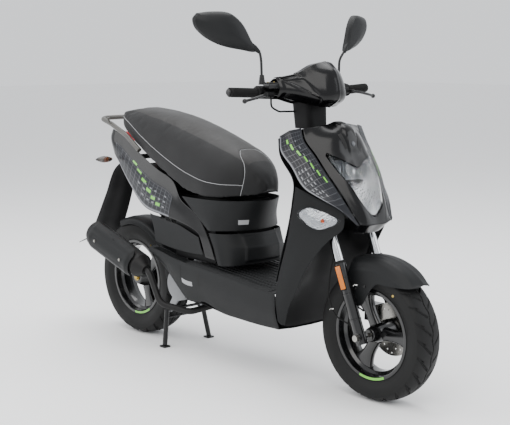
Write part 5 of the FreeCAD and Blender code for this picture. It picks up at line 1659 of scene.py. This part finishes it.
class SCOOTER_OT_fairing(bpy.types.Operator):
    """Build the gloss front fairing with its spine and vents"""
    bl_idname = "scooter.fairing"
    bl_label = "Front fairing"

    def execute(self, context):
        build_fairing()
        return {"FINISHED"}


class SCOOTER_OT_headlight(bpy.types.Operator):
    """Build the headlight cover, its bowl and its bulb"""
    bl_idname = "scooter.headlight"
    bl_label = "Headlight"

    def execute(self, context):
        build_headlight()
        return {"FINISHED"}


class SCOOTER_OT_wings(bpy.types.Operator):
    """Build the printed wings beside the fairing"""
    bl_idname = "scooter.wings"
    bl_label = "Wings"

    def execute(self, context):
        build_wings()
        return {"FINISHED"}


class SCOOTER_OT_front_indicators(bpy.types.Operator):
    """Build the front indicators with their bulbs"""
    bl_idname = "scooter.front_indicators"
    bl_label = "Front indicators"

    def execute(self, context):
        build_front_indicators()
        return {"FINISHED"}


class SCOOTER_OT_leg_shields(bpy.types.Operator):
    """Build the outer leg shields and the wheel well"""
    bl_idname = "scooter.leg_shields"
    bl_label = "Leg shields"

    def execute(self, context):
        build_leg_shields()
        return {"FINISHED"}


class SCOOTER_OT_inner_shield(bpy.types.Operator):
    """Build the rider's side of the leg shield with its glove box and hook"""
    bl_idname = "scooter.inner_shield"
    bl_label = "Inner shield"

    def execute(self, context):
        build_inner_shield()
        return {"FINISHED"}


class SCOOTER_OT_floor(bpy.types.Operator):
    """Build the ribbed floor and the side skirts"""
    bl_idname = "scooter.floor"
    bl_label = "Floor and skirts"

    def execute(self, context):
        build_floor()
        build_skirts()
        return {"FINISHED"}


class SCOOTER_OT_seat_box(bpy.types.Operator):
    """Build the shell under the seat and its service cover"""
    bl_idname = "scooter.seat_box"
    bl_label = "Seat box"

    def execute(self, context):
        build_seat_box()
        return {"FINISHED"}


class SCOOTER_OT_tail(bpy.types.Operator):
    """Build the tail panels with their film, the side panels, and the black backing of painted shade behind the
    panel gaps
    """
    bl_idname = "scooter.tail"
    bl_label = "Tail"

    def execute(self, context):
        build_tail()
        build_backing()
        return {"FINISHED"}


class SCOOTER_OT_rear_lights(bpy.types.Operator):
    """Build the tail lamp, rear indicators and plate holder"""
    bl_idname = "scooter.rear_lights"
    bl_label = "Rear lights"

    def execute(self, context):
        build_rear_lights()
        return {"FINISHED"}


class SCOOTER_OT_seat(bpy.types.Operator):
    """Fill out the seat cushion and sew its seams"""
    bl_idname = "scooter.seat"
    bl_label = "Seat"

    def execute(self, context):
        build_seat()
        return {"FINISHED"}


class SCOOTER_OT_handlebar(bpy.types.Operator):
    """Build the handlebar covers, dash, grips and controls"""
    bl_idname = "scooter.handlebar"
    bl_label = "Handlebar"

    def execute(self, context):
        build_handlebar_covers()
        build_dash()
        build_grips()
        build_controls()
        return {"FINISHED"}


class SCOOTER_OT_mirrors(bpy.types.Operator):
    """Build both mirror heads with their glass"""
    bl_idname = "scooter.mirrors"
    bl_label = "Mirrors"

    def execute(self, context):
        build_mirrors()
        return {"FINISHED"}


class SCOOTER_OT_fork(bpy.types.Operator):
    """Build the fender and the small parts on the fork"""
    bl_idname = "scooter.fork"
    bl_label = "Fork and fender"

    def execute(self, context):
        build_fender()
        build_fork()
        return {"FINISHED"}


class SCOOTER_OT_front_wheel(bpy.types.Operator):
    """Build the front wheel and tyre"""
    bl_idname = "scooter.front_wheel"
    bl_label = "Front wheel"

    def execute(self, context):
        build_front_wheel()
        return {"FINISHED"}


class SCOOTER_OT_rear_wheel(bpy.types.Operator):
    """Build the rear wheel and tyre"""
    bl_idname = "scooter.rear_wheel"
    bl_label = "Rear wheel"

    def execute(self, context):
        build_rear_wheel()
        return {"FINISHED"}


class SCOOTER_OT_rear_end(bpy.types.Operator):
    """Build the hugger, silencer guard, shock spring and bungee pins"""
    bl_idname = "scooter.rear_end"
    bl_label = "Rear end"

    def execute(self, context):
        build_rear_end()
        build_spring()
        build_small_parts()
        return {"FINISHED"}


class SCOOTER_OT_stage(bpy.types.Operator):
    """Lay the floor and set the lights and the camera"""
    bl_idname = "scooter.stage"
    bl_label = "Stage"

    def execute(self, context):
        build_stage()
        return {"FINISHED"}


OPERATORS = (SCOOTER_OT_paint, SCOOTER_OT_fairing, SCOOTER_OT_headlight, SCOOTER_OT_wings,
             SCOOTER_OT_front_indicators, SCOOTER_OT_leg_shields, SCOOTER_OT_inner_shield, SCOOTER_OT_floor,
             SCOOTER_OT_seat_box, SCOOTER_OT_tail, SCOOTER_OT_rear_lights, SCOOTER_OT_seat,
             SCOOTER_OT_handlebar, SCOOTER_OT_mirrors, SCOOTER_OT_fork, SCOOTER_OT_front_wheel,
             SCOOTER_OT_rear_wheel, SCOOTER_OT_rear_end, SCOOTER_OT_stage)


class SCOOTER_PT_looks(bpy.types.Panel):
    """Sidebar panel with the sizes and one button for each group of pieces"""
    bl_idname = "SCOOTER_PT_looks"
    bl_label = "Scooter looks"
    bl_space_type = "VIEW_3D"
    bl_region_type = "UI"
    bl_category = "Scooter"

    def draw(self, context):
        look = context.scene.scooter_looks
        for name in ScooterLooks.__annotations__:
            self.layout.prop(look, name)
        for operator in OPERATORS:
            self.layout.operator(operator.bl_idname)


CLASSES = (ScooterLooks, *OPERATORS, SCOOTER_PT_looks)


def register():
    for each in CLASSES:
        bpy.utils.register_class(each)
    bpy.types.Scene.scooter_looks = bpy.props.PointerProperty(type=ScooterLooks)


def unregister():
    del bpy.types.Scene.scooter_looks
    for each in reversed(CLASSES):
        bpy.utils.unregister_class(each)


def main():
    register()
    for operator in OPERATORS:
        group, name = operator.bl_idname.split(".")
        if getattr(getattr(bpy.ops, group), name)() != {"FINISHED"}:
            raise RuntimeError(operator.bl_label + " wasn't built")


if __name__ == "__main__":
    main()
